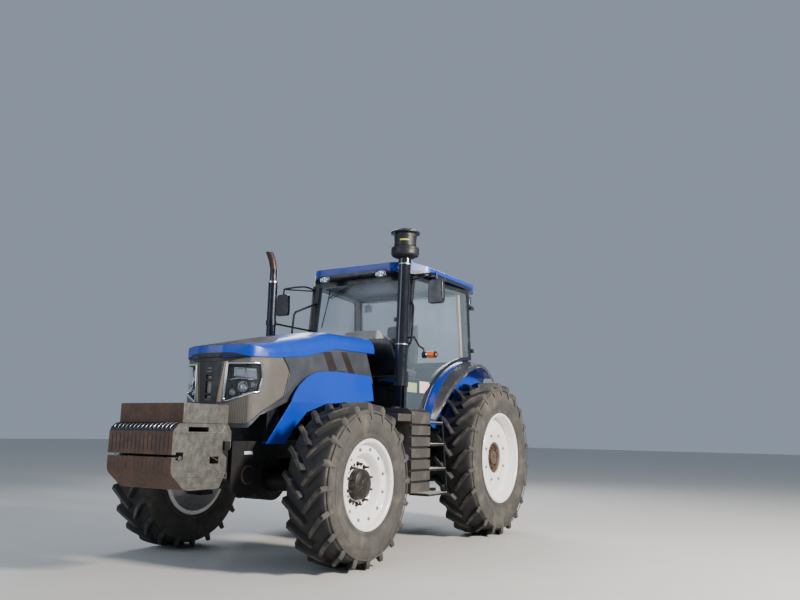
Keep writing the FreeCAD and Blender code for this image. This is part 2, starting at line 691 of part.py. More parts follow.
def grown(corners, offset):
    """The (u, v, radius) corners of an outline moved outward by an offset."""
    count = len(corners)
    moved = []
    for index, (u, v, radius) in enumerate(corners):
        before = corners[index - 1]
        after = corners[(index + 1) % count]
        first = unit(V(v - before[1], before[0] - u, 0))
        second = unit(V(after[1] - v, u - after[0], 0))
        reach = (first + second) * (offset / (1 + first.dot(second)))
        moved.append((u + reach.x, v + reach.y, max(radius + offset, 0) if radius else 0))
    return moved


def hood_plan(offset, rear):
    """The hood's outline from above, grown by an offset."""
    corners = [(-HOOD_HALF_W, rear, 0), (-HOOD_HALF_W, -1590, 250),
               (-HOOD_CORNER_X - 30, HOOD_CORNER_Y + 5, 60),
               (-130, HOOD_NOSE_Y + 12, 200), (0, HOOD_NOSE_Y, 0), (130, HOOD_NOSE_Y + 12, 200),
               (HOOD_CORNER_X + 30, HOOD_CORNER_Y + 5, 60), (HOOD_HALF_W, -1590, 250), (HOOD_HALF_W, rear, 0)]
    return plan_plate(grown(corners, offset), 1000, 2400)


def hood_cap():
    """The blue upper shell of the hood."""
    outer = cap_body(0).common(hood_plan(HOOD_OVERHANG, HOOD_REAR_Y))
    inner = cap_body(HOOD_WALL).common(hood_plan(-HOOD_WALL, HOOD_REAR_Y + 50))
    rear_trim = box(-600, 600, HOOD_REAR_Y, 400, 1500, 2300)
    shell = outer.cut(inner).cut(rear_trim)
    ears = []
    for s in (1, -1):
        low, high = sorted((s * HOOD_EAR_X, s * (HOOD_EAR_X + 16)))
        ears.append(side_plate([(HOOD_PIVOT_Y - 22, HOOD_PIVOT_Z - 18, 12),
                                (HOOD_PIVOT_Y + 22, HOOD_PIVOT_Z - 18, 12),
                                (HOOD_PIVOT_Y + 26, 2104, 0), (HOOD_PIVOT_Y - 60, 2098, 0)], low, high))
    bore = bar(V(-400, HOOD_PIVOT_Y, HOOD_PIVOT_Z), V(400, HOOD_PIVOT_Y, HOOD_PIVOT_Z), HINGE_PIN_R + PIN_GAP)
    return fuse([shell] + ears).cut(bore)


def hood_wall():
    """The upright wall round the hood's nose and sides, one plate thick."""
    ring_wall = hood_plan(0, HOOD_REAR_Y).cut(hood_plan(-HOOD_WALL, HOOD_REAR_Y + 50))
    ring_wall = ring_wall.cut(box(-HOOD_HALF_W + HOOD_WALL, HOOD_HALF_W - HOOD_WALL, -700, 400, 900, 2500))
    edge = [(y, z, 0) for y, _, z, _ in CAP_SECTIONS]
    above = side_plate([(y, z - SEAT_GAP, r) for y, z, r in edge] + [(300, 1935 - SEAT_GAP, 0),
                                                                     (300, 2500, 0),
                        (-2100, 2500, 0), (-2100, 1733 - SEAT_GAP, 0)], -600, 600)
    below = side_plate([(-2100, 900, 0), (-2100, NOSE_BOTTOM, 0), (HOOD_CORNER_Y, NOSE_BOTTOM, 0),
                        (-1660, 1250, 60), (-1290, 1390, 200), (-700, 1540, 200), (-230, 1620, 100),
                        (300, 1620, 0), (300, 900, 0)], -600, 600)
    rear = side_plate([(HOOD_REAR_Y, 1500, 0), (HOOD_REAR_Y, 1640, 0), (-90, 1940, 0), (-90, 2100, 0),
                       (300, 2100, 0), (300, 1500, 0)], -600, 600)
    return ring_wall.cut(above).cut(below).cut(rear)


GRILLE_FACE = [(-140, 1790, 0), (140, 1790, 0), (90, 1340, 0), (-90, 1340, 0)]
# Low and high edge of the openings in the middle of the grille
GRILLE_SLOTS = [(1386.0, 1412.0), (1429.0, 1531.0), (1552.0, 1580.0)]
GRILLE_SLOT_HALF_W = 32.0
LAMP_FACE = [(178, 1680, 20), (500, 1690, 0), (500, 1475, 30), (395, 1440, 30), (158, 1345, 25)]


def lamp_window():
    """The left headlamp's outline, drawn from the front."""
    return front_plate(LAMP_FACE, HOOD_NOSE_Y - 40, -1640)


def hood_pieces():
    """Grey sides, warm grey nose panel, centre grille and headlamps of the hood."""
    wall = hood_wall()
    nose_zone = side_plate([(-2100, NOSE_BOTTOM + 35, 0), (HOOD_CORNER_Y - 10, NOSE_BOTTOM + 35, 0),
                            (-1640, 1290, 60), (-1385, 1425, 40), (-1320, 1640, 60), (-1420, 1780, 0),
                            (-1420, 2300, 0), (-2100, 2300, 0)], -600, 600)
    grille_zone = front_plate(GRILLE_FACE, HOOD_NOSE_Y - 40, HOOD_NOSE_Y + 120)
    lamp_zone = lamp_window().common(side_plate([(-2000, 1200, 0), (-2000, 1900, 0), (-1700, 1900, 0),
                                                 (-1650, 1560, 30), (-1760, 1200, 0)], 0, 600))
    lamps = both(lamp_zone)
    nose = wall.common(nose_zone)
    sides = wall.cut(nose_zone)
    openings = Part.makeCompound([grille_zone] + lamps)
    slots = [box(-GRILLE_SLOT_HALF_W, GRILLE_SLOT_HALF_W, HOOD_NOSE_Y - 40, HOOD_NOSE_Y + 120, low, high)
             for low, high in GRILLE_SLOTS]
    grille = nose.common(grille_zone).cut(Part.makeCompound(slots))
    lens = [nose.common(zone) for zone in lamps]
    return sides, nose.cut(openings), grille, lens


def weights():
    """Suitcase weight plates hooked side by side over the carrier, with the rod that locks them."""
    pitch = 2 * WEIGHT_HALF_W / PLATE_COUNT
    slot_z = 919
    plate = [(NOSE_Y, WEIGHT_BOTTOM + 130, 90), (NOSE_Y, slot_z - 10, 0), (NOSE_Y + 40, slot_z - 10, 0),
             (NOSE_Y + 40, slot_z - 28, 0), (NOSE_Y + 112, slot_z - 28, 0), (NOSE_Y + 112, slot_z + 28, 0),
             (NOSE_Y + 40, slot_z + 28, 0), (NOSE_Y + 40, slot_z + 10, 0), (NOSE_Y, slot_z + 10, 0),
             (NOSE_Y, WEIGHT_TOP - 60, 40), (NOSE_Y + 60, WEIGHT_TOP, 20),
             (WEIGHT_REAR_Y - 40, WEIGHT_TOP, 40),
             (WEIGHT_REAR_Y, WEIGHT_TOP - 60, 40), (WEIGHT_REAR_Y, 970, 15), (WEIGHT_REAR_Y - 32, 970, 0),
             (WEIGHT_REAR_Y - 32, 1030, 0), (WEIGHT_REAR_Y - 92, 1030, 0), (WEIGHT_REAR_Y - 92, 940, 0),
             (WEIGHT_REAR_Y - 42, 900, 0), (WEIGHT_REAR_Y - 42, 790, 0),
             (WEIGHT_REAR_Y - 110, WEIGHT_BOTTOM, 40), (NOSE_Y + 150, WEIGHT_BOTTOM, 90)]
    # y and z of the hand slot and of the window behind it
    windows = [(NOSE_Y + 152, NOSE_Y + 363, WEIGHT_TOP - 63, WEIGHT_TOP - 27),
               (NOSE_Y + 392, NOSE_Y + 487, 855, 911)]
    solids = []
    for index in range(PLATE_COUNT):
        low = -WEIGHT_HALF_W + index * pitch
        high = low + pitch - PLATE_GAP
        holes = [box(low - 1, high + 1, *window) for window in windows]
        solids.append(side_plate(plate, low, high).cut(Part.makeCompound(holes)))
    rod_z = slot_z - 28 + SEAT_GAP + WEIGHT_ROD_R
    solids.append(bar(V(-WEIGHT_HALF_W + 8, NOSE_Y + 76, rod_z), V(WEIGHT_HALF_W - 12, NOSE_Y + 76, rod_z),
                      WEIGHT_ROD_R))
    return solids


def weight_block():
    """The flat slab that lies on top of the weight plates."""
    return box(-WEIGHT_HALF_W, WEIGHT_HALF_W - PLATE_GAP, BLOCK_FRONT_Y, BLOCK_REAR_Y, WEIGHT_TOP, BLOCK_TOP)


def weight_carrier():
    """The bracket ahead of the frame whose rail the plates hook over."""
    rail = box(-WEIGHT_HALF_W - 20, WEIGHT_HALF_W + 20, WEIGHT_REAR_Y - 92 + SEAT_GAP,
               WEIGHT_REAR_Y - 32 - SEAT_GAP, 960, 1030 - SEAT_GAP)
    web = side_plate([(WEIGHT_REAR_Y - 32, 960, 0), (WEIGHT_REAR_Y - 92, 960, 0),
                      (WEIGHT_REAR_Y - 42, 905, 0),
                      (WEIGHT_REAR_Y - 42, 790, 0), (FRAME_FRONT_Y, 700, 0), (FRAME_FRONT_Y, 960, 0)],
                     -FRAME_HALF_W + 40, FRAME_HALF_W - 40)
    return fuse([rail, web])


GUARD_FOLD_X = 496.0
GUARD_FOLD_Z = 1375.0
GUARD_SHEET = 12.0


def guard_sheet(corners, edge_x, edge_z):
    """A flat sheet of the inner mudguard through (y, z) corners, leaning from the fold to its far edge."""
    lean = (edge_x - GUARD_FOLD_X) / (edge_z - GUARD_FOLD_Z)
    outer = [V(GUARD_FOLD_X + lean * (z - GUARD_FOLD_Z), y, z) for y, z in corners]
    inner = [point - V(GUARD_SHEET, 0, 0) for point in outer]
    sides = [[outer[i - 1], outer[i], inner[i], inner[i - 1]] for i in range(len(outer))]
    return closed_solid([outer, inner] + sides)


def inner_guards():
    """Both inner mudguards, folded outward above the front wheels; the right one clears the exhaust."""
    upper = guard_sheet([(-1355, GUARD_FOLD_Z), (-1306, 1444), (-1225, 1525), (-1114, 1599), (-1020, 1643),
                         (-920, 1669), (-760, 1688), (-590, 1698), (-30, 1696), (-12, 1670), (-12, 1440),
                         (-300, 1412), (-600, 1395), (-850, GUARD_FOLD_Z)], 446, 1700)
    lower = guard_sheet([(-1355, GUARD_FOLD_Z), (-850, GUARD_FOLD_Z), (-1120, 1290), (-1270, 1150),
                         (-1375, 1010),
                         (-1622, 1010)], 456, 1010)
    bracket = box(FRAME_HALF_W + SEAT_GAP, 450, -1500, -1420, FRAME_TOP - 20, FRAME_TOP - 2)
    stay = box(ENGINE_HALF_W + SEAT_GAP, 470, -660, -600, 1480, 1520)
    guard = fuse([upper, lower, bracket, stay])
    notch = side_plate([(STACK_Y - 58, 1300, 0), (STACK_Y + 58, 1300, 0), (STACK_Y + 58, 1558, 50),
                        (STACK_Y - 58, 1558, 50)], -GUARD_FOLD_X - 20, -420)
    return [guard, mirror(guard).cut(notch)]


def cab_tub():
    """The cab's floor, front wall and rear wall below the glass, with the hood's hinge arms."""
    half = FENDER_INNER_X - FENDER_SHEET - SEAT_GAP
    side_y = DOOR_PLAN_Y - (CAB_REAR_HALF_W - half) / math.tan(math.radians(DOOR_PLAN_DEG))
    floor = plan_plate([(CAB_FRONT_HALF_W, CAB_FRONT_Y, 0), (half, side_y, 0), (half, CAB_REAR_Y, 0),
                        (-half, CAB_REAR_Y, 0), (-half, side_y, 0), (-CAB_FRONT_HALF_W, CAB_FRONT_Y, 0)],
                       CAB_FLOOR - FLOOR_PLATE, CAB_FLOOR)
    inner = CAB_FRONT_HALF_W - PILLAR - SEAT_GAP
    front = front_plate([(-inner, CAB_FLOOR, 0), (inner, CAB_FLOOR, 0), (inner, PILLAR_FOOT_Z, 0),
                         (inner - 110, COWL_TOP, 60),
                         (110 - inner, COWL_TOP, 60), (-inner, PILLAR_FOOT_Z, 0)], CAB_FRONT_Y,
                         CAB_FRONT_Y + CAB_WALL)
    rear = box(-half, half, CAB_REAR_Y - CAB_WALL, CAB_REAR_Y, CAB_FLOOR, arch_top() - ARCH_DEPTH - SEAT_GAP)
    pieces = [floor, front, rear]
    for s in (1, -1):
        low, high = sorted((s * (HOOD_EAR_X + 19), s * (HOOD_EAR_X + 39)))
        pieces.append(box(low, high, HOOD_PIVOT_Y - 16, CAB_FRONT_Y + 5, HOOD_PIVOT_Z - 16,
                          HOOD_PIVOT_Z + 16))
        pieces.append(bar(V(s * (HOOD_EAR_X - 6), HOOD_PIVOT_Y, HOOD_PIVOT_Z),
                          V(s * (HOOD_EAR_X + 30), HOOD_PIVOT_Y, HOOD_PIVOT_Z), HINGE_PIN_R))
    rails = Part.makeCompound(both(arch(SEAT_GAP)))
    reach = PILLAR / 2 + SEAT_GAP
    posts = Part.makeCompound([box(middle - reach, middle + reach, CAB_FRONT_Y - 1,
                                   CAB_FRONT_Y + PILLAR + SEAT_GAP,
                                   CAB_FLOOR, PILLAR_FOOT_Z + 70)
                               for middle in (CAB_FRONT_HALF_W - PILLAR / 2, PILLAR / 2 - CAB_FRONT_HALF_W)])
    return fuse(pieces).cut(rails).cut(posts)


def arch(grow):
    """The left rail over the rear mudguard, grown by a clearance."""
    inner = FENDER_R + SEAT_GAP
    low = CAB_FRONT_HALF_W
    high = FENDER_INNER_X - FENDER_SHEET - SEAT_GAP
    rail = arch_sector(inner + ARCH_DEPTH + grow, low - grow, high + grow, FENDER_FRONT_DEG + grow / 20, 89)
    return rail.cut(arch_sector(inner - grow, low - 10, high + 10, 180, 60))


def arch_top():
    """Height of the rails over the wheel arches."""
    return REAR_R + FENDER_R + SEAT_GAP + ARCH_DEPTH


def arch_sector(radius, low_x, high_x, front_deg, rear_deg):
    """A sector of a drum about the rear axle between two side planes."""
    centre = V(low_x, REAR_AXLE_Y, REAR_R)
    drum = Part.makeCylinder(radius, high_x - low_x, centre, V(1, 0, 0), front_deg - rear_deg)
    drum.rotate(centre, V(1, 0, 0), rear_deg - 90)
    return drum


def lean_bar(start, end, width):
    """A square pillar between two points of its centre line."""
    half = width / 2
    low = Part.makePolygon([start + V(dx, dy, 0) for dx, dy in
                            ((-half, -half), (half, -half), (half, half), (-half, half), (-half, -half))])
    high = Part.makePolygon([end + V(dx, dy, 0) for dx, dy in
                             ((-half, -half), (half, -half), (half, half), (-half, half), (-half, -half))])
    return Part.makeLoft([low, high], True, True)


def pillar_points(side):
    """Foot and head of a side's front and rear pillar centre lines."""
    front_foot = V(side * (CAB_FRONT_HALF_W - PILLAR / 2), CAB_FRONT_Y + PILLAR / 2, PILLAR_FOOT_Z)
    front_head = front_foot + V(0, WINDSCREEN_LEAN, ROOF_BOTTOM - PILLAR_FOOT_Z)
    foot_z = arch_top() - 20
    rear_foot = V(side * (CAB_REAR_HALF_W - PILLAR / 2), CAB_REAR_Y - PILLAR / 2, foot_z)
    rear_head = rear_foot + V(0, REAR_LEAN, ROOF_BOTTOM - foot_z)
    return front_foot, front_head, rear_foot, rear_head


def cab_frame():
    """The cab's pillars, roof rails and wheel arch rails, one solid."""
    pieces = []
    for s in (1, -1):
        front_foot, front_head, rear_foot, rear_head = pillar_points(s)
        pieces.append(lean_bar(front_foot, front_head, PILLAR))
        pieces.append(lean_bar(rear_foot, rear_head, PILLAR))
        pieces.append(lean_bar(front_foot - V(0, 0, PILLAR_FOOT_Z - CAB_FLOOR - SEAT_GAP), front_foot,
                               PILLAR))
        rail = [(front_head.x - s * PILLAR / 2, front_head.y - PILLAR / 2, 0),
                (front_head.x + s * PILLAR / 2, front_head.y - PILLAR / 2, 0),
                (rear_head.x + s * PILLAR / 2, rear_head.y + PILLAR / 2, 0),
                (rear_head.x - s * PILLAR / 2, rear_head.y + PILLAR / 2, 0)]
        pieces.append(plan_plate(rail, ROOF_BOTTOM - PILLAR, ROOF_BOTTOM))
    pieces += both(arch(0))
    for s in (1, -1):
        for level in DOOR_HINGE_LEVELS:
            face_y = pillar_back(level)
            low, high = sorted((s * (CAB_REAR_HALF_W - 5), s * (DOOR_HINGE.x + 12)))
            pieces.append(box(low, high, face_y - 5, DOOR_HINGE.y + 12, level - 35, level - 12))
            pieces.append(bar(V(s * DOOR_HINGE.x, DOOR_HINGE.y, level - 20),
                              V(s * DOOR_HINGE.x, DOOR_HINGE.y, level + 14),
                              HINGE_PIN_R))
    head_y = CAB_FRONT_Y + WINDSCREEN_LEAN
    pieces.append(box(-CAB_FRONT_HALF_W + 10, CAB_FRONT_HALF_W - 10, head_y, head_y + PILLAR,
                      ROOF_BOTTOM - PILLAR, ROOF_BOTTOM))
    tail_y = CAB_REAR_Y + REAR_LEAN
    pieces.append(box(-CAB_REAR_HALF_W + 10, CAB_REAR_HALF_W - 10, tail_y - PILLAR, tail_y,
                      ROOF_BOTTOM - PILLAR, ROOF_BOTTOM))
    pieces.append(box(-CAB_REAR_HALF_W + 10, CAB_REAR_HALF_W - 10, CAB_REAR_Y - PILLAR, CAB_REAR_Y,
                      arch_top() - ARCH_DEPTH, arch_top()))
    return fuse(pieces)


def cab_glass():
    """Windscreen and rear window, two panes."""
    def pane(half_low, z_low, half_high, z_high, y_low, y_high):
        low = Part.makePolygon([V(-half_low, y_low, z_low), V(half_low, y_low, z_low),
                                V(half_low, y_low + GLASS, z_low), V(-half_low, y_low + GLASS, z_low),
                                V(-half_low, y_low, z_low)])
        high = Part.makePolygon([V(-half_high, y_high, z_high), V(half_high, y_high, z_high),
                                 V(half_high, y_high + GLASS, z_high), V(-half_high, y_high + GLASS, z_high),
                                 V(-half_high, y_high, z_high)])
        return Part.makeLoft([low, high], True, True)
    top = ROOF_BOTTOM - PILLAR - SEAT_GAP
    span = ROOF_BOTTOM - PILLAR_FOOT_Z
    foot = arch_top() - 20
    front_half = CAB_FRONT_HALF_W - PILLAR - SEAT_GAP
    y_at = CAB_FRONT_Y + 15 + WINDSCREEN_LEAN * (COWL_TOP - PILLAR_FOOT_Z) / span
    windscreen = pane(front_half, COWL_TOP + SEAT_GAP, front_half, top, y_at,
                      CAB_FRONT_Y + 15 + WINDSCREEN_LEAN * (top - PILLAR_FOOT_Z) / span)
    rear_half = CAB_REAR_HALF_W - PILLAR - SEAT_GAP
    rear_y = CAB_REAR_Y - 25
    rear = pane(rear_half, arch_top() + SEAT_GAP, rear_half, top,
                rear_y + REAR_LEAN * (arch_top() - foot) / (ROOF_BOTTOM - foot),
                rear_y + REAR_LEAN * (top - foot) / (ROOF_BOTTOM - foot))
    return [windscreen, rear]


def roof():
    """The roof: a crowned slab with a visor lip, seated on the cab's rails."""
    nose = CAB_FRONT_HALF_W - 120
    plan = plan_plate([(-nose, ROOF_FRONT_Y, 150), (nose, ROOF_FRONT_Y, 150),
                       (ROOF_HALF_W, ROOF_FRONT_Y + 350, 200),
                       (ROOF_HALF_W, ROOF_REAR_Y, 90), (-ROOF_HALF_W, ROOF_REAR_Y, 90),
                       (-ROOF_HALF_W, ROOF_FRONT_Y + 350, 200)], ROOF_BOTTOM - 60, 3200)
    side = side_plate([(ROOF_FRONT_Y - 50, ROOF_BOTTOM + 20, 0), (ROOF_FRONT_Y - 50, ROOF_EDGE_TOP, 0),
                       (ROOF_FRONT_Y + 500, ROOF_CROWN, 800), (ROOF_REAR_Y - 200, ROOF_CROWN - 20, 400),
                       (ROOF_REAR_Y + 50, ROOF_EDGE_TOP - 60, 0), (ROOF_REAR_Y + 50, ROOF_BOTTOM - 30, 0),
                       (ROOF_REAR_Y - 170, ROOF_BOTTOM, 60), (CAB_FRONT_Y + 150, ROOF_BOTTOM, 60)],
                      -ROOF_HALF_W - 50, ROOF_HALF_W + 50)
    across = front_plate([(-ROOF_HALF_W - 1, ROOF_BOTTOM - 40, 0), (-ROOF_HALF_W - 1, ROOF_EDGE_TOP - 20, 50),
                          (-560, ROOF_CROWN, 300), (560, ROOF_CROWN, 300),
                          (ROOF_HALF_W + 1, ROOF_EDGE_TOP - 20, 50), (ROOF_HALF_W + 1, ROOF_BOTTOM - 40, 0)],
                         ROOF_FRONT_Y - 60, ROOF_REAR_Y + 60)
    return plan.common(side).common(across)


def fender():
    """The left rear mudguard's painted sheet: the upright inner wall and the narrow strip over it."""
    low = FENDER_INNER_X - FENDER_SHEET
    top = FENDER_R + FENDER_RISE
    strip = arch_sector(top, low, FENDER_SHOULDER_X, FENDER_FRONT_DEG, FENDER_REAR_DEG)
    strip = strip.cut(arch_sector(top - FENDER_SHEET, low - 10, FENDER_SHOULDER_X + 10, 200, 0))
    wall = arch_sector(top, low, FENDER_INNER_X, FENDER_FRONT_DEG, FENDER_REAR_DEG)
    wall = wall.cut(box(low - 10, FENDER_INNER_X + 10, 0, 3000, 0, FENDER_WALL_BOTTOM))
    pocket = box(low - 10, CAB_REAR_HALF_W + SEAT_GAP, CAB_REAR_Y - PILLAR - 2, CAB_REAR_Y + SEAT_GAP,
                 arch_top() - ARCH_DEPTH - SEAT_GAP, arch_top() + 100)
    return fuse([strip, wall]).cut(pocket)


# Outer edge of the mudguard's flare: angle round the rear axle in degrees, reach beyond the wall's outer face
FLARE_EDGE = [(158.0, 130.0), (146.0, 185.0), (133.0, 225.0), (118.0, 260.0), (100.0, 255.0), (84.0, 210.0),
              (70.0, 165.0), (60.0, 140.0)]


def flare_edge(degrees):
    """Reach of the flare's outer edge at an angle."""
    for (high, first), (low, second) in zip(FLARE_EDGE, FLARE_EDGE[1:]):
        if degrees >= low:
            return second + (first - second) * (degrees - low) / (high - low)
    return FLARE_EDGE[-1][1]


def flare():
    """The left mudguard's moulded flare, sloping from the painted strip to a turned-down lip."""
    top = FENDER_R + FENDER_RISE
    start = FENDER_SHOULDER_X + SEAT_GAP
    steps = int(round((FENDER_FRONT_DEG - FENDER_REAR_DEG) / FLARE_STEP))
    sections = []
    for index in range(steps + 1):
        degrees = FENDER_FRONT_DEG + (FENDER_REAR_DEG - FENDER_FRONT_DEG) * index / steps
        edge = FENDER_INNER_X + flare_edge(degrees)
        profile = [(start, top), (edge - 16, top - 34), (edge, top - 48), (edge, top - FLARE_LIP),
                   (edge - FLARE_SHEET, top - FLARE_LIP), (edge - FLARE_SHEET, top - 54),
                   (start, top - FLARE_SHEET - 4)]
        turn = math.radians(degrees)
        sections.append([V(x, REAR_AXLE_Y + r * math.cos(turn), REAR_R + r * math.sin(turn))
                         for x, r in profile])
    loops = [sections[0], sections[-1]]
    for low, high in zip(sections, sections[1:]):
        for index in range(len(low)):
            loops.append([low[index - 1], low[index], high[index]])
            loops.append([low[index - 1], high[index], high[index - 1]])
    return closed_solid(loops)


# Where the doors' inner plane touches the cab from above, and how far it turns in towards the front
DOOR_PLAN_Y = CAB_REAR_Y + REAR_LEAN - PILLAR
DOOR_PLAN_DEG = math.degrees(math.atan2(CAB_REAR_HALF_W - CAB_FRONT_HALF_W, DOOR_PLAN_Y - CAB_FRONT_Y))
DOOR_HINGE = V(CAB_REAR_HALF_W + 53, CAB_REAR_Y + 4, 0)
DOOR_HINGE_LEVELS = [REAR_R + FENDER_R + 198, ROOF_BOTTOM - 210]


def pillar_back(level):
    """The rear pillar's back face at a height."""
    foot_z = arch_top() - 20
    return CAB_REAR_Y + REAR_LEAN * (level - foot_z) / (ROOF_BOTTOM - foot_z)


def door_shape(inset, thickness, low_x):
    """The left door's outline from the side, inset by a border, before it is turned to its place."""
    lean = WINDSCREEN_LEAN / (ROOF_BOTTOM - PILLAR_FOOT_Z)
    front_low = CAB_FRONT_Y + 8 + inset
    top = ROOF_BOTTOM - 22 - inset
    front_top = CAB_FRONT_Y + 8 + lean * (top - PILLAR_FOOT_Z) + inset
    rear_low = pillar_back(arch_top()) - 14 - inset
    corners = [(front_low, DOOR_BOTTOM + inset, 12), (front_low, PILLAR_FOOT_Z, 0), (front_top, top, 30),
               (pillar_back(top) - 14 - inset, top, 30), (rear_low, arch_top(), 0), (rear_low, 1500, 0),
               (rear_low - 400, DOOR_BOTTOM + inset, 0)]
    plate = side_plate(corners, low_x, low_x + thickness)
    hole = arch_sector(FENDER_R + SEAT_GAP + ARCH_DEPTH + DOOR_ARCH_GAP + inset, low_x - 10,
                       low_x + thickness + 10, 200, 20)
    return plate.cut(hole)


def door():
    """The left door: a slim frame with its hinge eyes and handle, and the pane in it."""
    low = CAB_REAR_HALF_W + DOOR_SEAL
    frame = door_shape(0, DOOR_PLATE, low).cut(door_shape(DOOR_EDGE, DOOR_PLATE + 2, low - 1))
    handle = box(low + DOOR_PLATE - 1, low + DOOR_PLATE + 26, CAB_FRONT_Y + 14, CAB_FRONT_Y + 40, 1600, 1760)
    middle = low + (DOOR_PLATE - DOOR_PANE) / 2
    pane = door_shape(DOOR_EDGE + SEAT_GAP, DOOR_PANE, middle)
    frame = fuse([frame, handle])
    corner = V(CAB_REAR_HALF_W, DOOR_PLAN_Y, 0)
    for piece in (frame, pane):
        piece.rotate(corner, V(0, 0, 1), -DOOR_PLAN_DEG)
    eyes = []
    for level in DOOR_HINGE_LEVELS:
        front_y = pillar_back(level) - 14 - DOOR_EDGE + 6
        eyes.append(box(DOOR_HINGE.x - 28, DOOR_HINGE.x + 4, front_y, DOOR_HINGE.y, level - 10, level + 12))
        eyes.append(bar(V(DOOR_HINGE.x, DOOR_HINGE.y, level - 10), V(DOOR_HINGE.x, DOOR_HINGE.y, level + 12),
                        15))
    bores = [bar(V(DOOR_HINGE.x, DOOR_HINGE.y, level - 60), V(DOOR_HINGE.x, DOOR_HINGE.y, level + 60),
                 HINGE_PIN_R + PIN_GAP) for level in DOOR_HINGE_LEVELS]
    return fuse([frame] + eyes).cut(Part.makeCompound(bores)), pane


def exhaust_stack():
    """The exhaust: an elbow from the engine, the silencer tube and a tip bent forward."""
    foot = 1500.0
    lower = tube([V(-ENGINE_HALF_W - SEAT_GAP, STACK_Y, foot), V(STACK_X + 60, STACK_Y, foot),
                  V(STACK_X, STACK_Y, foot + 60), V(STACK_X, STACK_Y, foot + 300)], STACK_TIP_R, 12)
    silencer = tube([V(STACK_X, STACK_Y, foot + 290), V(STACK_X, STACK_Y, 2720)], STACK_R, 16)
    tip = tube([V(STACK_X, STACK_Y, 2700), V(STACK_X, STACK_Y, STACK_TOP - 170),
                V(STACK_X, STACK_Y - 32, STACK_TOP - 70), V(STACK_X, STACK_Y - 120, STACK_TOP + 60)],
                STACK_TIP_R, 12)
    tip = tip.cut(box(STACK_X - 200, STACK_X + 200, STACK_Y - 400, STACK_Y + 200, STACK_TOP, STACK_TOP + 400))
    clamp = tube([V(STACK_X, STACK_Y, 2240), V(STACK_X, STACK_Y, 2290)], STACK_R + 8, 16)
    strut = up_to_pillar(box(STACK_X - 8, STACK_X + 8, STACK_Y, CAB_FRONT_Y + 90, 2255, 2275), -1)
    return fuse([lower, silencer, tip, clamp, strut])


def up_to_pillar(shape, side):
    """A fitting's part outside the front pillar of its side, ending just short of the pillar."""
    pillar = lean_bar(*pillar_points(side)[:2], PILLAR + 2 * SEAT_GAP)
    return max(shape.cut(pillar).Solids, key=lambda solid: solid.Volume)


def intake_stack():
    """The air intake: the upright tube beside the cab and the duct to the engine."""
    foot = V(INTAKE_X, INTAKE_FOOT_Y, DUCT_Z - 60)
    head = V(INTAKE_X, INTAKE_HEAD_Y, CLEANER_BOTTOM)
    upright = tube([foot, head + (head - foot) * 0.02], INTAKE_R, 16)
    upright = upright.cut(box(400, 1000, 0, 400, CLEANER_BOTTOM, CLEANER_BOTTOM + 100))
    collar = tube([head - V(0, 4, 60), head - V(0, 1, 20)], INTAKE_R + 7, 16)
    duct = tube([V(INTAKE_X, INTAKE_FOOT_Y, DUCT_Z), V(230, INTAKE_FOOT_Y, DUCT_Z),
                 V(170, INTAKE_FOOT_Y - 60, DUCT_Z), V(170, -260, DUCT_Z)], INTAKE_R - 5, 12)
    foot_block = box(140, 200, -290, -200, ENGINE_TOP + SEAT_GAP, DUCT_Z)
    strut = box(CAB_FRONT_HALF_W - 40, CAB_FRONT_HALF_W - 8, INTAKE_FOOT_Y + 30, CAB_FRONT_Y + 90, 2290, 2330)
    link = box(CAB_FRONT_HALF_W - 40, INTAKE_X, INTAKE_FOOT_Y + 10, INTAKE_FOOT_Y + 50, 2290, 2330)
    return fuse([upright, collar, duct, foot_block, up_to_pillar(strut, 1), link])


def pre_cleaner():
    """The bowl-shaped pre-cleaner on top of the intake tube."""
    low = CLEANER_BOTTOM + SEAT_GAP
    height = CLEANER_TOP - low
    # height above the foot as a share, and radius
    profile = [(0, 90), (0.07, 142), (0.12, 150), (0.36, 150), (0.40, 120), (0.84, 120), (0.87, CLEANER_R),
               (0.91, CLEANER_R), (1.0, 110)]
    loops = []
    sections = []
    for share, radius in profile:
        centre = V(INTAKE_X, INTAKE_HEAD_Y, low + share * height)
        sections.append([centre + V(radius * math.cos(math.radians(18 * k)),
                                    radius * math.sin(math.radians(18 * k)), 0)
                         for k in range(20)])
    for under, over in zip(sections, sections[1:]):
        loops += [[under[k - 1], under[k], over[k], over[k - 1]] for k in range(20)]
    return closed_solid(loops + [sections[0], sections[-1]])


def mirrors():
    """Both rear-view mirrors with their arms from the front pillars."""
    face_y = CAB_FRONT_Y + WINDSCREEN_LEAN * (2760 - PILLAR_FOOT_Z) / (ROOF_BOTTOM - PILLAR_FOOT_Z)
    foot = V(CAB_FRONT_HALF_W - 30, face_y + 6, 2760)
    arm = tube([foot, V(CAB_FRONT_HALF_W + 90, MIRROR_Y + 5, 2800),
                V(MIRROR_X - 20, MIRROR_Y, 2800), V(MIRROR_X, MIRROR_Y, 2780),
                V(MIRROR_X, MIRROR_Y, MIRROR_Z)], 11)
    brace = tube([foot, V(CAB_FRONT_HALF_W + 90, MIRROR_Y + 5, 2755), V(MIRROR_X - 60, MIRROR_Y, 2786),
                  V(MIRROR_X - 20, MIRROR_Y, 2798)], 9)
    shell = front_plate([(MIRROR_X - 90, MIRROR_Z - 130, 0), (MIRROR_X + 90, MIRROR_Z - 130, 0),
                         (MIRROR_X + 90, MIRROR_Z + 130, 0), (MIRROR_X - 90, MIRROR_Z + 130, 0)],
                        MIRROR_Y - 30, MIRROR_Y + 25)
    return both(fuse([up_to_pillar(fuse([arm, brace]), 1), shell]))


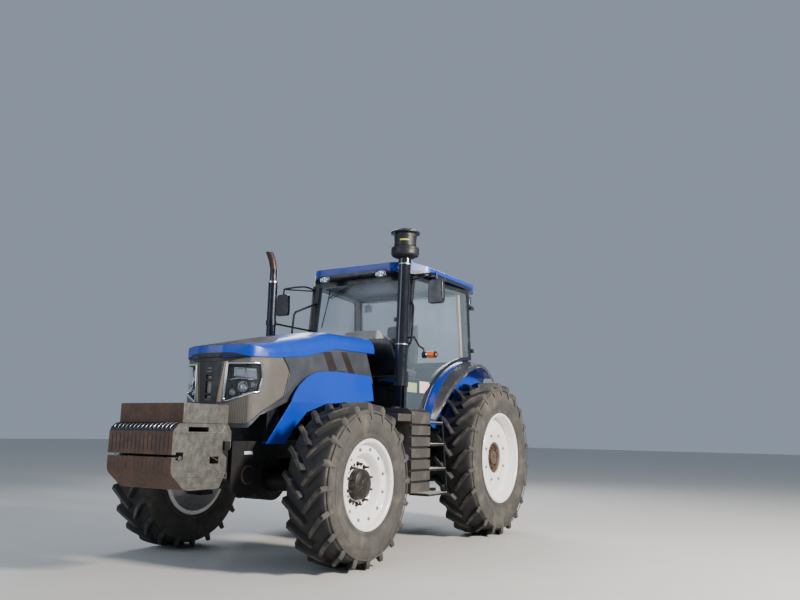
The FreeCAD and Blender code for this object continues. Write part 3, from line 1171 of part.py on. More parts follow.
def grab_rails():
    """The bent grab rails beside the front pillars."""
    foot_x = CAB_FRONT_HALF_W - 40
    rails = []
    # side, reach outward from the foot, then y of the upper and of the lower bend
    table = [(1, 190.0, 250.0, 220.0), (-1, 130.0, 130.0, 90.0)]
    for side, reach, upper_y, lower_y in table:
        top_y = CAB_FRONT_Y + WINDSCREEN_LEAN * (2600 - PILLAR_FOOT_Z) / (ROOF_BOTTOM - PILLAR_FOOT_Z)
        low_y = CAB_FRONT_Y + WINDSCREEN_LEAN * (1900 - PILLAR_FOOT_Z) / (ROOF_BOTTOM - PILLAR_FOOT_Z)
        out = foot_x + reach
        rail = tube([V(foot_x, top_y + 3, 2600), V(out - 15, upper_y + 10, 2475), V(out, upper_y, 2440),
                     V(out, lower_y, 2100), V(out - 15, lower_y + 8, 2065), V(foot_x, low_y + 3, 1900)], 13)
        rail = up_to_pillar(rail, 1)
        rails.append(rail if side > 0 else mirror(rail))
    return rails


def signals():
    """Turn signals lying outward on stalks from the front pillars."""
    level = SIGNAL_Z + 196
    face_y = CAB_FRONT_Y + WINDSCREEN_LEAN * (level - PILLAR_FOOT_Z) / (ROOF_BOTTOM - PILLAR_FOOT_Z)
    stalk = tube([V(CAB_FRONT_HALF_W - 28, face_y + 6, level), V(CAB_FRONT_HALF_W - 28, 262, level),
                  V(INTAKE_X + 100, 262, level), V(SIGNAL_X - 55, SIGNAL_Y + 15, SIGNAL_Z + 96),
                  V(SIGNAL_X + 5, SIGNAL_Y, SIGNAL_Z + 66), V(SIGNAL_X + 15, SIGNAL_Y, SIGNAL_Z)], 10)
    body = tube([V(SIGNAL_X, SIGNAL_Y, SIGNAL_Z), V(SIGNAL_X + SIGNAL_LENGTH, SIGNAL_Y, SIGNAL_Z)], SIGNAL_R,
                12)
    return both(fuse([up_to_pillar(stalk, 1), body]))


def work_lamps():
    """Oval work lamps under the roof's front edge and at its rear corners."""
    lamps = []
    for x in (-380, 380):
        lamp = front_plate([(x - 75, ROOF_BOTTOM - 44, 36), (x + 75, ROOF_BOTTOM - 44, 36),
                            (x + 75, ROOF_BOTTOM + 30, 36), (x - 75, ROOF_BOTTOM + 30, 36)],
                           ROOF_FRONT_Y - 25, ROOF_FRONT_Y - SEAT_GAP)
        lamps.append(lamp)
    rear = box(680, 780, ROOF_REAR_Y - 120, ROOF_REAR_Y - 60, 2690, 2790)
    stay = box(720, 740, ROOF_REAR_Y - 100, ROOF_REAR_Y - 80, 2780, 2860)
    return lamps + both(fuse([rear, stay]).cut(roof()))


def tank():
    """The left tank: its ribbed outer face and the shelf ahead of the cab."""
    rise = (TANK_TOP - 150 - TANK_BOTTOM) / TANK_RIBS
    groove = 22.0
    corners = [(TANK_INNER_X, TANK_TOP, 0), (TANK_INNER_X, TANK_BOTTOM + 60, 40),
               (TANK_INNER_X + 90, TANK_BOTTOM, 40)]
    for index in range(TANK_RIBS):
        low = TANK_BOTTOM + index * rise
        corners += [(TANK_OUTER_X, low, 0), (TANK_OUTER_X, low + rise - groove, 0),
                    (TANK_OUTER_X - groove, low + rise - groove, 0), (TANK_OUTER_X - groove, low + rise, 0)]
    corners += [(TANK_OUTER_X, TANK_TOP - 150, 0), (TANK_OUTER_X, TANK_TOP - 40, 30),
                (TANK_OUTER_X - 60, TANK_TOP, 30)]
    body = front_plate(corners, TANK_FRONT_Y, CAB_FRONT_Y - SEAT_GAP)
    shelf = box(TANK_INNER_X + 120, TANK_OUTER_X - 10, TANK_FRONT_Y - 250, TANK_FRONT_Y + 5, TANK_TOP - 130,
                TANK_TOP - 60)
    bracket = box(GEARBOX_HALF_W + SEAT_GAP, TANK_INNER_X + 5, 205, 265, 800, 900)
    return fuse([body, shelf, bracket])


def steps():
    """The left boarding steps: treads between two stringers, under the door."""
    front = CAB_FRONT_Y
    low_z = STEP_LEVELS[0] - 40
    high_z = CAB_FLOOR - FLOOR_PLATE - SEAT_GAP
    stringers = []
    for low_x in (STEP_INNER_X, STEP_OUTER_X - 12):
        stringer = side_plate([(front + 400, low_z, 0), (front + 425, low_z, 0), (front + 300, high_z, 0),
                               (front + 275, high_z, 0)], low_x, low_x + 12)
        stringers.append(stringer)
    treads = []
    for level in STEP_LEVELS:
        back = front + 300 - 125 * (level - high_z) / (high_z - low_z)
        treads.append(box(STEP_INNER_X, STEP_OUTER_X, front, back - 12, level - STEP_PLATE, level))
    hanger = box(STEP_INNER_X - 200, STEP_INNER_X + 5, front + 60, front + 300, high_z - 40, high_z)
    return fuse(stringers + treads + [hanger])


def dash():
    """The dash cowl and the steering column."""
    wheel = V(0, STEER_WHEEL_Y, STEER_WHEEL_Z)
    cowl = side_plate([(CAB_FRONT_Y + CAB_WALL + SEAT_GAP, CAB_FLOOR + SEAT_GAP, 0),
                       (CAB_FRONT_Y + CAB_WALL + SEAT_GAP, COWL_TOP - 70, 0),
                       (CAB_FRONT_Y + 80, COWL_TOP - 20, 0),
                       (CAB_FRONT_Y + 140, DASH_TOP - 30, 60),
                       (CAB_FRONT_Y + 250, DASH_TOP, 120), (CAB_FRONT_Y + 390, 2120, 60),
                       (CAB_FRONT_Y + 330, 1900, 100), (CAB_FRONT_Y + 290, CAB_FLOOR + SEAT_GAP, 0)], -200,
                       200)
    column = bar(wheel - STEER_AXIS * 560, wheel - STEER_AXIS * 45.5, 34)
    return fuse([cowl, column])


STEER_AXIS = unit(V(0, 0.5, 0.87))


def steering_wheel():
    """The steering wheel: rim, hub and three spokes."""
    centre = V(0, STEER_WHEEL_Y, STEER_WHEEL_Z)
    inner = STEER_WHEEL_R - 30
    section = [(-15, inner + 8), (-15, inner + 22), (-7, inner + 30), (7, inner + 30),
               (15, inner + 22), (15, inner + 8), (7, inner), (-7, inner)]
    rim_ring = ring(section, 20, V(0, 0, 0))
    rim_ring.Placement = FreeCAD.Placement(centre, FreeCAD.Rotation(V(1, 0, 0), STEER_AXIS))
    hub = bar(centre - STEER_AXIS * 45, centre + STEER_AXIS * 12, 42)
    across = V(1, 0, 0)
    spokes = []
    for degrees in (0, 180, 270):
        turn = FreeCAD.Rotation(STEER_AXIS, degrees)
        spokes.append(tube([centre, centre + turn.multVec(across) * (STEER_WHEEL_R - 15)], 9))
    return fuse([rim_ring, hub] + spokes)


def seat_base():
    """The seat's pedestal on the cab floor."""
    foot = box(-170, 170, SEAT_Y - 170, SEAT_Y + 200, CAB_FLOOR + SEAT_GAP, SEAT_TOP - 150)
    pan = box(-230, 230, SEAT_Y - 240, SEAT_Y + 250, SEAT_TOP - 150, SEAT_TOP - 125)
    back = box(-140, 140, SEAT_Y + 226, SEAT_Y + 250, SEAT_TOP - 130, SEAT_TOP + 300)
    return fuse([foot, pan, back])


def seat_pads():
    """Seat cushion and backrest."""
    low = SEAT_TOP - 125 + SEAT_GAP
    cushion = plan_plate([(-240, SEAT_Y - 250, 60), (240, SEAT_Y - 250, 60), (240, SEAT_Y + 200, 30),
                          (-240, SEAT_Y + 200, 30)], low, SEAT_TOP)
    back = side_plate([(SEAT_Y + 226 - SEAT_GAP, SEAT_TOP + 10, 0),
                       (SEAT_Y + 226 - SEAT_GAP, SEAT_TOP + 540, 40),
                       (SEAT_Y + 130, SEAT_TOP + 540, 40), (SEAT_Y + 120, SEAT_TOP + 10, 30)], -230, 230)
    return [cushion, back]


def hitch():
    """The drawbar with its frame, the power take-off guard and stub, and the top link ears."""
    rear = REAR_HOUSING_REAR_Y + SEAT_GAP
    drawbar = plan_plate([(-40, REAR_AXLE_Y - 200, 0), (40, REAR_AXLE_Y - 200, 0), (40, rear + 330, 40),
                          (-40, rear + 330, 40)], 400, 436)
    hanger = box(-70, 70, rear, rear + 40, 436, GEARBOX_BOTTOM + 160)
    strap = box(-70, 70, rear, rear + 60, 380, 436)
    strap = strap.cut(box(-41, 41, rear - 10, rear + 70, 399, 437))
    pin_hole = bar(V(0, rear + 290, 300), V(0, rear + 290, 500), 16)
    stub = bar(V(0, rear, 820), V(0, rear + 110, 820), 18)
    plate = box(-110, 110, rear, rear + 30, 700, 900)
    guard = front_plate([(-110, 880, 20), (110, 880, 20), (110, 720, 0), (104, 720, 0), (104, 874, 14),
                         (-104, 874, 14), (-104, 720, 0), (-110, 720, 0)], rear + 20, rear + 130)
    tongue = fuse([drawbar, hanger, strap]).cut(pin_hole)
    front_hold = box(-70, 70, REAR_AXLE_Y - 190, REAR_AXLE_Y - 130, 400, GEARBOX_BOTTOM - 40 - SEAT_GAP)
    ears = []
    for s in (1, -1):
        low, high = sorted((s * 26, s * 50))
        ears.append(side_plate([(rear, TOP_LINK_Z - 70, 0), (rear, TOP_LINK_Z + 60, 0),
                                (TOP_LINK_Y + 60, TOP_LINK_Z + 30, 30),
                                (TOP_LINK_Y + 60, TOP_LINK_Z - 40, 30)],
                               low, high))
    pin = bar(V(-56, TOP_LINK_Y + 20, TOP_LINK_Z), V(56, TOP_LINK_Y + 20, TOP_LINK_Z), TOP_PIN_R)
    foot = box(-60, 60, rear, rear + 20, 880, TOP_LINK_Z + 60)
    return fuse([tongue, front_hold, stub, plate, guard, foot] + ears + [pin])


def link_pins():
    """The pins on the axle housing that carry the lower links."""
    pins = []
    for s in (1, -1):
        start = V(s * (REAR_HOUSING_HALF_W + SEAT_GAP), LINK_PIVOT_Y, LINK_PIVOT_Z)
        pins.append(bar(start, V(s * (LINK_PIVOT_X + 40), LINK_PIVOT_Y, LINK_PIVOT_Z), LINK_PIN_R))
    return pins


def arm_tip():
    """The lift arm's end at rest: y and z."""
    angle = math.radians(ARM_REST_DEG)
    return ARM_PIVOT_Y + ARM_LENGTH * math.cos(angle), ARM_PIVOT_Z + ARM_LENGTH * math.sin(angle)


def link_middle():
    """The point of the left lower link under the lift arm's end."""
    tip_y, _ = arm_tip()
    share = (tip_y - LINK_PIVOT_Y) / (TAIL_Y - LINK_BALL_R - LINK_PIVOT_Y)
    return V(LINK_PIVOT_X + share * (LINK_BALL_X - LINK_PIVOT_X), tip_y,
             LINK_PIVOT_Z + share * (LINK_BALL_Z - LINK_PIVOT_Z))


def lift_arms():
    """The rockshaft with its two lift arms and their pins."""
    tip_y, tip_z = arm_tip()
    shaft = bar(V(-ARM_X - ARM_PLATE / 2, ARM_PIVOT_Y, ARM_PIVOT_Z),
                V(ARM_X + ARM_PLATE / 2, ARM_PIVOT_Y, ARM_PIVOT_Z), 34)
    pieces = [shaft]
    for s in (1, -1):
        low, high = sorted((s * (ARM_X - ARM_PLATE / 2), s * (ARM_X + ARM_PLATE / 2)))
        arm = side_plate([(ARM_PIVOT_Y - 60, ARM_PIVOT_Z - 55, 50), (ARM_PIVOT_Y - 60, ARM_PIVOT_Z + 55, 50),
                          (tip_y + 34, tip_z + 34, 30), (tip_y + 34, tip_z - 34, 30)], low, high)
        pin = bar(V(s * ARM_X, tip_y, tip_z), V(s * (ARM_X + 48), tip_y, tip_z), LINK_PIN_R)
        pieces += [arm, pin]
    return fuse(pieces)


def lift_rods():
    """The two lift rods, each with an eye on the arm's pin and a wide eye round the link's pin."""
    tip_y, tip_z = arm_tip()
    middle = link_middle()
    upper_x = ARM_X + ARM_PLATE / 2 + 5
    lower_x = middle.x + 22
    upper = bar(V(upper_x, tip_y, tip_z), V(upper_x + 22, tip_y, tip_z), 32)
    lower = bar(V(lower_x, tip_y, middle.z), V(lower_x + 20, tip_y, middle.z), 46)
    rod = bar(V(upper_x + 14, tip_y, tip_z - 22), V(lower_x + 10, tip_y, middle.z + 36), LIFT_ROD_R)
    body = fuse([upper, lower, rod])
    bores = [bar(V(upper_x - 20, tip_y, tip_z), V(upper_x + 60, tip_y, tip_z), LINK_PIN_R + PIN_GAP),
             bar(V(lower_x - 40, tip_y, middle.z), V(lower_x + 60, tip_y, middle.z), 10 + LIFT_SLACK)]
    return both(body.cut(Part.makeCompound(bores)))


def top_link():
    """The top link: a tube between two eyes, carried by the pin between its ears."""
    start = V(0, TOP_LINK_Y + 20, TOP_LINK_Z)
    end = start + V(0, TOP_LINK_LENGTH, 0)
    tube = bar(start + V(0, 15, 0), end - V(0, 20, 0), 19)
    eyes = [bar(point - V(22, 0, 0), point + V(22, 0, 0), 32) for point in (start, end)]
    bores = [bar(point - V(60, 0, 0), point + V(60, 0, 0), TOP_PIN_R + PIN_GAP) for point in (start, end)]
    return fuse([tube] + eyes).cut(Part.makeCompound(bores))


def lower_links():
    """Both lower links with their ball ends and the pins for the lift rods."""
    middle = link_middle()
    links = []
    for s in (1, -1):
        start = V(s * LINK_PIVOT_X, LINK_PIVOT_Y, LINK_PIVOT_Z)
        end = V(s * LINK_BALL_X, TAIL_Y - LINK_BALL_R, LINK_BALL_Z)
        along = unit(end - start)
        low = Part.makePolygon([start + V(dx, 0, dz) for dx, dz in
                                ((-15, -30), (15, -30), (15, 30), (-15, 30), (-15, -30))])
        high = Part.makePolygon([end - along * 10 + V(dx, 0, dz) for dx, dz in
                                 ((-15, -30), (15, -30), (15, 30), (-15, 30), (-15, -30))])
        blade = Part.makeLoft([low, high], True, True)
        eye = bar(start - V(24, 0, 0), start + V(24, 0, 0), 34)
        ball = bar(end - V(25, 0, 0), end + V(25, 0, 0), LINK_BALL_R)
        pin = bar(V(s * middle.x, middle.y, middle.z), V(s * (middle.x + 50), middle.y, middle.z), 10)
        link = fuse([blade, eye, ball, pin])
        bores = [bar(start - V(60, 0, 0), start + V(60, 0, 0), LINK_PIN_R + PIN_GAP),
                 bar(end - V(60, 0, 0), end + V(60, 0, 0), LINK_BORE_R)]
        links.append(link.cut(Part.makeCompound(bores)))
    return links


def export_all():
    """Build each node and write it."""
    export("front_weights", weights())
    export("weight_block", [weight_block()])
    export("weight_carrier", [weight_carrier()])
    export("front_frame", [front_frame()])
    export("front_axle", [front_axle()])
    export("engine", [engine()])
    export("radiator", [radiator()])
    export("transmission", [transmission()])
    export("rear_axle", rear_axle())
    export("cab_tub", [cab_tub()])
    export("cab_frame", [cab_frame()])
    export("cab_glass", cab_glass())
    export("roof", [roof()])
    export("rear_fenders", both(fender()))
    export("fender_flares", both(flare()))
    export("inner_guards", inner_guards())
    sides, nose, grille, lens = hood_pieces()
    export("hood_cap", [hood_cap()])
    export("hood_sides", [sides])
    export("nose_panel", [nose])
    export("grille", [grille])
    export("headlamps", lens)
    for suffix, s in (("l", 1), ("r", -1)):
        names = ("tyre_f" + suffix, "rim_f" + suffix, "hub_f" + suffix)
        for name, piece in zip(names, front_wheel(s)):
            export(name, [piece])
        names = ("tyre_r" + suffix, "rim_r" + suffix, "hub_r" + suffix)
        for name, piece in zip(names, rear_wheel(s)):
            export(name, [piece])
        export("knuckle_" + suffix, [knuckle() if s > 0 else mirror(knuckle())])
    export("steering_rod", [steering_rod()])
    frame, pane = door()
    export("door_l", [frame])
    export("door_l_glass", [pane])
    export("door_r", [mirror(frame)])
    export("door_r_glass", [mirror(pane)])
    export("exhaust_stack", [exhaust_stack()])
    export("intake_stack", [intake_stack()])
    export("pre_cleaner", [pre_cleaner()])
    export("mirrors", mirrors())
    export("grab_rails", grab_rails())
    export("signals", signals())
    export("work_lamps", work_lamps())
    export("tanks", both(tank()))
    export("steps", both(steps()))
    export("dash", [dash()])
    export("steering_wheel", [steering_wheel()])
    export("seat_base", [seat_base()])
    export("seat_pads", seat_pads())
    export("hitch", [hitch()] + link_pins())
    export("lift_arms", [lift_arms()])
    export("lift_rods", lift_rods())
    export("top_link", [top_link()])
    export("lower_links", lower_links())


os.makedirs("parts", exist_ok=True)
export_all()
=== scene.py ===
import bmesh
import bpy
import math
from mathutils import Matrix, Vector
from mathutils.bvhtree import BVHTree


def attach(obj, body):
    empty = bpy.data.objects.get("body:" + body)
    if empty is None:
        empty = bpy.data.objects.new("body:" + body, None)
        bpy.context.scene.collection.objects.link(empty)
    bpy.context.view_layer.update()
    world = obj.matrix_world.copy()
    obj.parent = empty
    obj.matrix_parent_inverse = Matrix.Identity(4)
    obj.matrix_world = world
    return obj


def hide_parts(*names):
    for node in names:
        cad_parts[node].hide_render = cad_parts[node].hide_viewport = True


# The looks of a farm tractor: metres, +X is its left, -Y is forward, +Z is up.

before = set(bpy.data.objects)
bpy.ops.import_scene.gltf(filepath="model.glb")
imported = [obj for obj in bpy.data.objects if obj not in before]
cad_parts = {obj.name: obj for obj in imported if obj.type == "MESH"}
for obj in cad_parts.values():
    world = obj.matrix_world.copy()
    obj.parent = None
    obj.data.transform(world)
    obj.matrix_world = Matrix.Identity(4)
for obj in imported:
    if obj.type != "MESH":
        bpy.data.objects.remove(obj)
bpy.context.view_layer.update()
scene = bpy.context.scene

# Places and sizes repeated from the part's own source, f for front and r for rear
AXLES = {"f": Vector((1.004, -1.150, 0.690)), "r": Vector((0.990, 1.610, 0.862))}
# Tyre: radius, section, rim radius, rim width, lug height, lugs a side
TYRES = {"f": (0.690, 0.430, 0.381, 0.400, 0.046, 20), "r": (0.862, 0.467, 0.508, 0.428, 0.046, 22)}
PLATES = 16
PLATES_LOW_X, PLATES_HIGH_X = -0.360, 0.358
PLATE_PITCH = 0.045
INTAKE_X, INTAKE_Y = 0.700, 0.210

LUG_SWEEP = 0.92  # how far round the tyre a lug reaches, in pitches
WELD = 0.00005  # vertices closer than this become one
NOSE_AHEAD_Y = -1.95  # plane ahead of the nose, from which points drop onto it
HOOD_ABOVE_Z = 2.02  # the same above the hood


# Materials

def feed(tree, node, inputs):
    """Set a node's inputs, each from a value or a socket."""
    for key, value in inputs.items():
        if isinstance(value, bpy.types.NodeSocket):
            tree.links.new(value, node.inputs[key])
        else:
            node.inputs[key].default_value = value


def add_node(tree, kind, inputs, **settings):
    """A new shader node."""
    node = tree.nodes.new("ShaderNode" + kind)
    for key, value in settings.items():
        setattr(node, key, value)
    feed(tree, node, inputs)
    return node


def noise(tree, coords, scale, detail, low, high):
    """A noise pattern squeezed between two thresholds."""
    texture = add_node(tree, "TexNoise", {"Vector": coords, "Scale": scale, "Detail": detail})
    inputs = {"Value": texture.outputs["Fac"], "From Min": low, "From Max": high}
    return add_node(tree, "MapRange", inputs).outputs["Result"]


def mix_colour(tree, factor, first, second):
    """A colour between two, each a value or a socket."""
    first, second = ((*colour, 1.0) if isinstance(colour, tuple) else colour for colour in (first, second))
    return add_node(tree, "Mix", {0: factor, 6: first, 7: second}, data_type="RGBA").outputs[2]


def material(name, colour, rough, shade, metal=0.0, coat=0.0, patch=3.0, spread=0.12, grain=120.0,
             depth=0.0004, dust=None):
    """A finish with darker patches, dust (colour, cover, scale), gloss of some spread and a fine grain."""
    made = bpy.data.materials.new(name)
    made.use_nodes = True
    tree = made.node_tree
    coords = add_node(tree, "TexCoord", {}).outputs["Object"]
    patches = noise(tree, coords, patch, 4.0, 0.35, 0.7)
    tone = mix_colour(tree, patches, tuple(part * shade for part in colour), colour)
    if dust:
        *dust_colour, cover, scale = dust
        dusty = noise(tree, coords, scale, 8.0, 0.75 - cover, 0.95 - 0.5 * cover)
        tone = mix_colour(tree, dusty, tone, tuple(dust_colour))
    gloss = add_node(tree, "MapRange", {
        "Value": noise(tree, coords, patch * 5, 6.0, 0.3, 0.7),
        "To Min": max(rough - spread, 0.03), "To Max": min(rough + spread, 1.0)})
    bump = add_node(tree, "Bump", {
        "Height": noise(tree, coords, grain, 3.0, 0.3, 0.7), "Strength": 0.6, "Distance": depth})
    feed(tree, tree.nodes["Principled BSDF"], {
        "Base Color": tone, "Roughness": gloss.outputs["Result"], "Normal": bump.outputs["Normal"],
        "Metallic": metal, "Coat Weight": coat, "Coat Roughness": 0.08})
    return made


def glass(name, colour, rough, alpha):
    """A thin clear pane with a faint film in its colour: dust on the lamp lenses, a painted sky reflection on the
    cab's panes.
    """
    made = material(name, colour, rough, 0.75, coat=0.4, patch=2.0, spread=0.04, grain=20.0, depth=0.00002)
    tree = made.node_tree
    feed(tree, tree.nodes["Principled BSDF"], {"Alpha": alpha, "Specular IOR Level": 0.9})
    return made


def perforated(name, colour, hole, upright):
    """A dusty sheet with fine round holes drawn in its colour; upright for a wall, else for a roof."""
    made = material(name, colour, 0.6, 0.85, grain=300.0, dust=(0.20, 0.18, 0.15, 0.2, 6))
    tree = made.node_tree
    shader = tree.nodes["Principled BSDF"]
    split = add_node(tree, "SeparateXYZ", {0: add_node(tree, "TexCoord", {}).outputs["Object"]}).outputs
    reach = add_node(tree, "Math", {0: split[0]}, operation="ABSOLUTE").outputs[0]
    along = add_node(tree, "Math", {0: reach, 1: split[1]}, operation="SUBTRACT").outputs[0]
    joined = add_node(tree, "CombineXYZ", {0: along, 1: split[2 if upright else 0]}).outputs[0]
    cells = add_node(tree, "TexVoronoi", {}, voronoi_dimensions="2D")
    feed(tree, cells, {"Vector": joined, "Scale": 130.0, "Randomness": 0.15})
    inputs = {"Value": cells.outputs["Distance"], "From Min": 0.22, "From Max": 0.40}
    holes = add_node(tree, "MapRange", inputs).outputs["Result"]
    tone = shader.inputs["Base Color"].links[0].from_socket
    feed(tree, shader, {"Base Color": mix_colour(tree, holes, hole, tone)})
    return made


# Name, colour, roughness, shade of the patches; dust: colour, cover, scale
BLUE = material(
    "blue_paint", (0.003, 0.048, 0.46), 0.34, 0.88, coat=0.18, patch=1.5, spread=0.05, depth=0.00003,
    dust=(0.05, 0.09, 0.34, 0.05, 3))
SILVER = material(
    "metallic_grey", (0.100, 0.110, 0.130), 0.36, 0.92, metal=0.6, coat=0.3, patch=1.5, grain=300.0,
    depth=0.00002, dust=(0.125, 0.13, 0.14, 0.05, 3))
DARK = material("satin_black", (0.014, 0.016, 0.021), 0.36, 0.7, coat=0.2, dust=(0.10, 0.085, 0.07, 0.12, 6))
# moulded black, also the painted shadow under the hood cap's front edge
PLASTIC_AND_SHADE = material(
    "moulded_black_and_painted_shade", (0.017, 0.017, 0.020), 0.48, 0.7, grain=400.0, depth=0.0003,
    dust=(0.13, 0.11, 0.085, 0.16, 6))
CAST = material(
    "dusty_casting", (0.016, 0.016, 0.017), 0.6, 0.6, metal=0.3, grain=90.0, depth=0.001,
    dust=(0.060, 0.048, 0.037, 0.16, 9))
IRON = material(
    "cast_iron_grey", (0.150, 0.150, 0.138), 0.5, 0.55, metal=0.35, patch=14.0, grain=60.0, depth=0.0022,
    dust=(0.075, 0.065, 0.055, 0.26, 26))
RUST = material(
    "rusty_iron", (0.155, 0.082, 0.050), 0.8, 0.60, metal=0.1, patch=7.0, grain=110.0, depth=0.0018,
    dust=(0.085, 0.060, 0.055, 0.34, 18))
# painted shade: the dark of the weights' scoops and seams
PAINTED_SHADE = material("shaded_iron", (0.006, 0.009, 0.022), 0.45, 0.7, metal=0.2)
SIDEWALL = material(
    "dusty_sidewall", (0.070, 0.066, 0.060), 0.85, 0.72, patch=5.0, grain=160.0, depth=0.0008,
    dust=(0.135, 0.122, 0.104, 0.24, 7))
# tread rubber, darkened as painted shade between and beside the lugs
TREAD_AND_SHADE = material(
    "tread_rubber_and_painted_shade", (0.020, 0.020, 0.022), 0.66, 0.7, grain=160.0, depth=0.0008,
    dust=(0.10, 0.08, 0.06, 0.14, 6))
LUG_TOP = material(
    "worn_lug_rubber", (0.042, 0.040, 0.037), 0.72, 0.6, patch=9.0, grain=190.0, depth=0.0010,
    dust=(0.155, 0.135, 0.11, 0.30, 12))
WHITE = material("white_rim_paint", (0.86, 0.86, 0.85), 0.30, 0.95, coat=0.4, dust=(0.60, 0.53, 0.44, 0.12, 9))
BOLT = material("rusty_bolts", (0.065, 0.045, 0.035), 0.6, 0.6, metal=0.5, patch=30.0)
HUB = material(
    "brown_hub", (0.030, 0.025, 0.022), 0.45, 0.6, metal=0.5, patch=14.0, depth=0.0008,
    dust=(0.085, 0.065, 0.05, 0.2, 20))
CHROME = material("bright_bezel", (0.86, 0.87, 0.89), 0.10, 0.96, metal=1.0, spread=0.05)
STEEL = material("bright_steel", (0.5, 0.5, 0.51), 0.28, 0.85, metal=1.0)
STACK = material("stack_steel", (0.030, 0.034, 0.045), 0.30, 0.7, metal=0.8, dust=(0.16, 0.12, 0.08, 0.12, 6))
TIP = material(
    "burnt_tip", (0.085, 0.060, 0.052), 0.42, 0.6, metal=0.6, patch=12.0, dust=(0.13, 0.085, 0.065, 0.2, 6))
DUCT = material(
    "glossy_duct", (0.010, 0.012, 0.020), 0.22, 0.8, metal=0.3, coat=0.5, spread=0.05,
    dust=(0.06, 0.055, 0.05, 0.08, 6))
BAND = material("bright_band", (0.45, 0.47, 0.50), 0.35, 0.8, metal=0.8)
AMBER = material("amber_lens", (0.85, 0.17, 0.012), 0.16, 0.8, coat=0.9, patch=20.0)
TANK = material(
    "dusty_tank", (0.055, 0.050, 0.045), 0.62, 0.82, grain=260.0, depth=0.0005,
    dust=(0.120, 0.105, 0.085, 0.24, 6))
COWL = material("warm_grey_cowl", (0.40, 0.36, 0.33), 0.5, 0.9, grain=500.0, depth=0.0002)
# tan trim, also the nose's light strips, where it is a painted highlight
TRIM_AND_HIGHLIGHT = material("tan_trim_and_painted_highlight", (0.36, 0.30, 0.235), 0.6, 0.88, grain=400.0, depth=0.0002)
CLOTH = material("seat_cloth", (0.045, 0.046, 0.05), 0.92, 0.75, patch=8.0, grain=900.0, depth=0.0008)
FENDER = material("dark_fender", (0.040, 0.041, 0.050), 0.34, 0.8, coat=0.3, dust=(0.14, 0.125, 0.11, 0.16, 6))
EDGE = material("worn_edge", (0.40, 0.36, 0.30), 0.55, 0.8, patch=10.0)
MESH = perforated("nose_mesh", (0.150, 0.140, 0.125), (0.035, 0.032, 0.028), True)
TOP_MESH = perforated("hood_top_mesh", (0.062, 0.050, 0.046), (0.014, 0.013, 0.013), False)
# black rubber, also the painted shadow line along the hood's wheel arch
RUBBER_AND_SHADOW = material("black_rubber_and_painted_shadow", (0.012, 0.012, 0.013), 0.5, 0.8)
BROWN = material("bronze_stripe", (0.017, 0.010, 0.008), 0.5, 0.8)
YELLOW = material("yellow_label", (0.62, 0.66, 0.07), 0.4, 0.9)
GREEN = material("pale_green_label", (0.36, 0.44, 0.27), 0.5, 0.9)
PINK = material("pale_pink_label", (0.86, 0.60, 0.58), 0.5, 0.95)
PAPER = material("white_label", (0.82, 0.82, 0.80), 0.5, 0.95)
# the panes' pale sky blue is a painted reflection of the sky
PANE = glass("cab_pane_painted_sky", (0.40, 0.54, 0.68), 0.08, 0.10)
LENS = glass("lamp_lens", (0.30, 0.34, 0.38), 0.07, 0.05)
BOWL = material("lamp_bowl", (0.045, 0.050, 0.060), 0.25, 0.55, metal=0.8, patch=16.0, spread=0.06)
LAMP = material("lamp_silver", (0.50, 0.53, 0.57), 0.16, 0.45, metal=1.0, patch=30.0, spread=0.06)
BOSS = material("rusty_boss", (0.135, 0.088, 0.062), 0.65, 0.6, metal=0.3, patch=20.0, depth=0.0010)
DULL = material("dusty_zinc", (0.34, 0.32, 0.29), 0.5, 0.7, metal=0.4, patch=40.0)
GLOW = material("lamp_ball", (0.70, 0.73, 0.78), 0.08, 0.5, metal=0.9, patch=40.0, spread=0.03)


# Mesh helpers

def merge(parts):
    """One vertex and face list from several."""
    verts, faces = [], []
    for more_verts, more_faces in parts:
        start = len(verts)
        verts += more_verts
        faces += [[index + start for index in face] for face in more_faces]
    return verts, faces


def piece(name, parts, finish, body="chassis", replaces=(), sharp=35.0):
    """A mesh piece of one or more parts, each with its vertices and faces, riding on a body."""
    verts, faces = merge(parts)
    mesh = bpy.data.meshes.new(name)
    mesh.from_pydata([tuple(v) for v in verts], [], faces)
    mesh.validate()
    work = bmesh.new()
    work.from_mesh(mesh)
    bmesh.ops.recalc_face_normals(work, faces=work.faces)
    work.to_mesh(mesh)
    work.free()
    return settle(name, mesh, finish, body, replaces, sharp)


def settle(name, mesh, finish, body, replaces, sharp):
    """Turn a mesh into a piece: object, smooth shading, material and body."""
    obj = bpy.data.objects.new(name, mesh)
    scene.collection.objects.link(obj)
    mesh.materials.append(finish)
    mesh.shade_smooth()
    mesh.set_sharp_from_angle(angle=math.radians(sharp))
    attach(obj, body)
    if replaces:
        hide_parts(*replaces)
    return obj


def bevelled(obj, width, segments=2, angle=35.0):
    """Round a piece's edges."""
    rounder = obj.modifiers.new("edges", "BEVEL")
    rounder.width = width
    rounder.segments = segments
    rounder.limit_method = "ANGLE"
    rounder.angle_limit = math.radians(angle)
    rounder.harden_normals = True
    return obj


def dressed(node, finish, slot, bevel, body="chassis"):
    """A CAD node's own form with its edges rounded."""
    work = bmesh.new()
    work.from_mesh(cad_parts[node].data)
    bmesh.ops.remove_doubles(work, verts=work.verts, dist=WELD)
    bmesh.ops.dissolve_limit(work, angle_limit=math.radians(1.0), verts=work.verts, edges=work.edges)
    mesh = bpy.data.meshes.new(node + "_look")
    work.to_mesh(mesh)
    work.free()
    return bevelled(settle(node + "_look", mesh, finish, body, [node], 32.0), bevel, 2, 32.0)


def repaint(obj, finish, test):
    """Give the faces whose centre and normal pass a test another finish."""
    obj.data.materials.append(finish)
    for polygon in obj.data.polygons:
        if test(polygon.center, polygon.normal):
            polygon.material_index = len(obj.data.materials) - 1


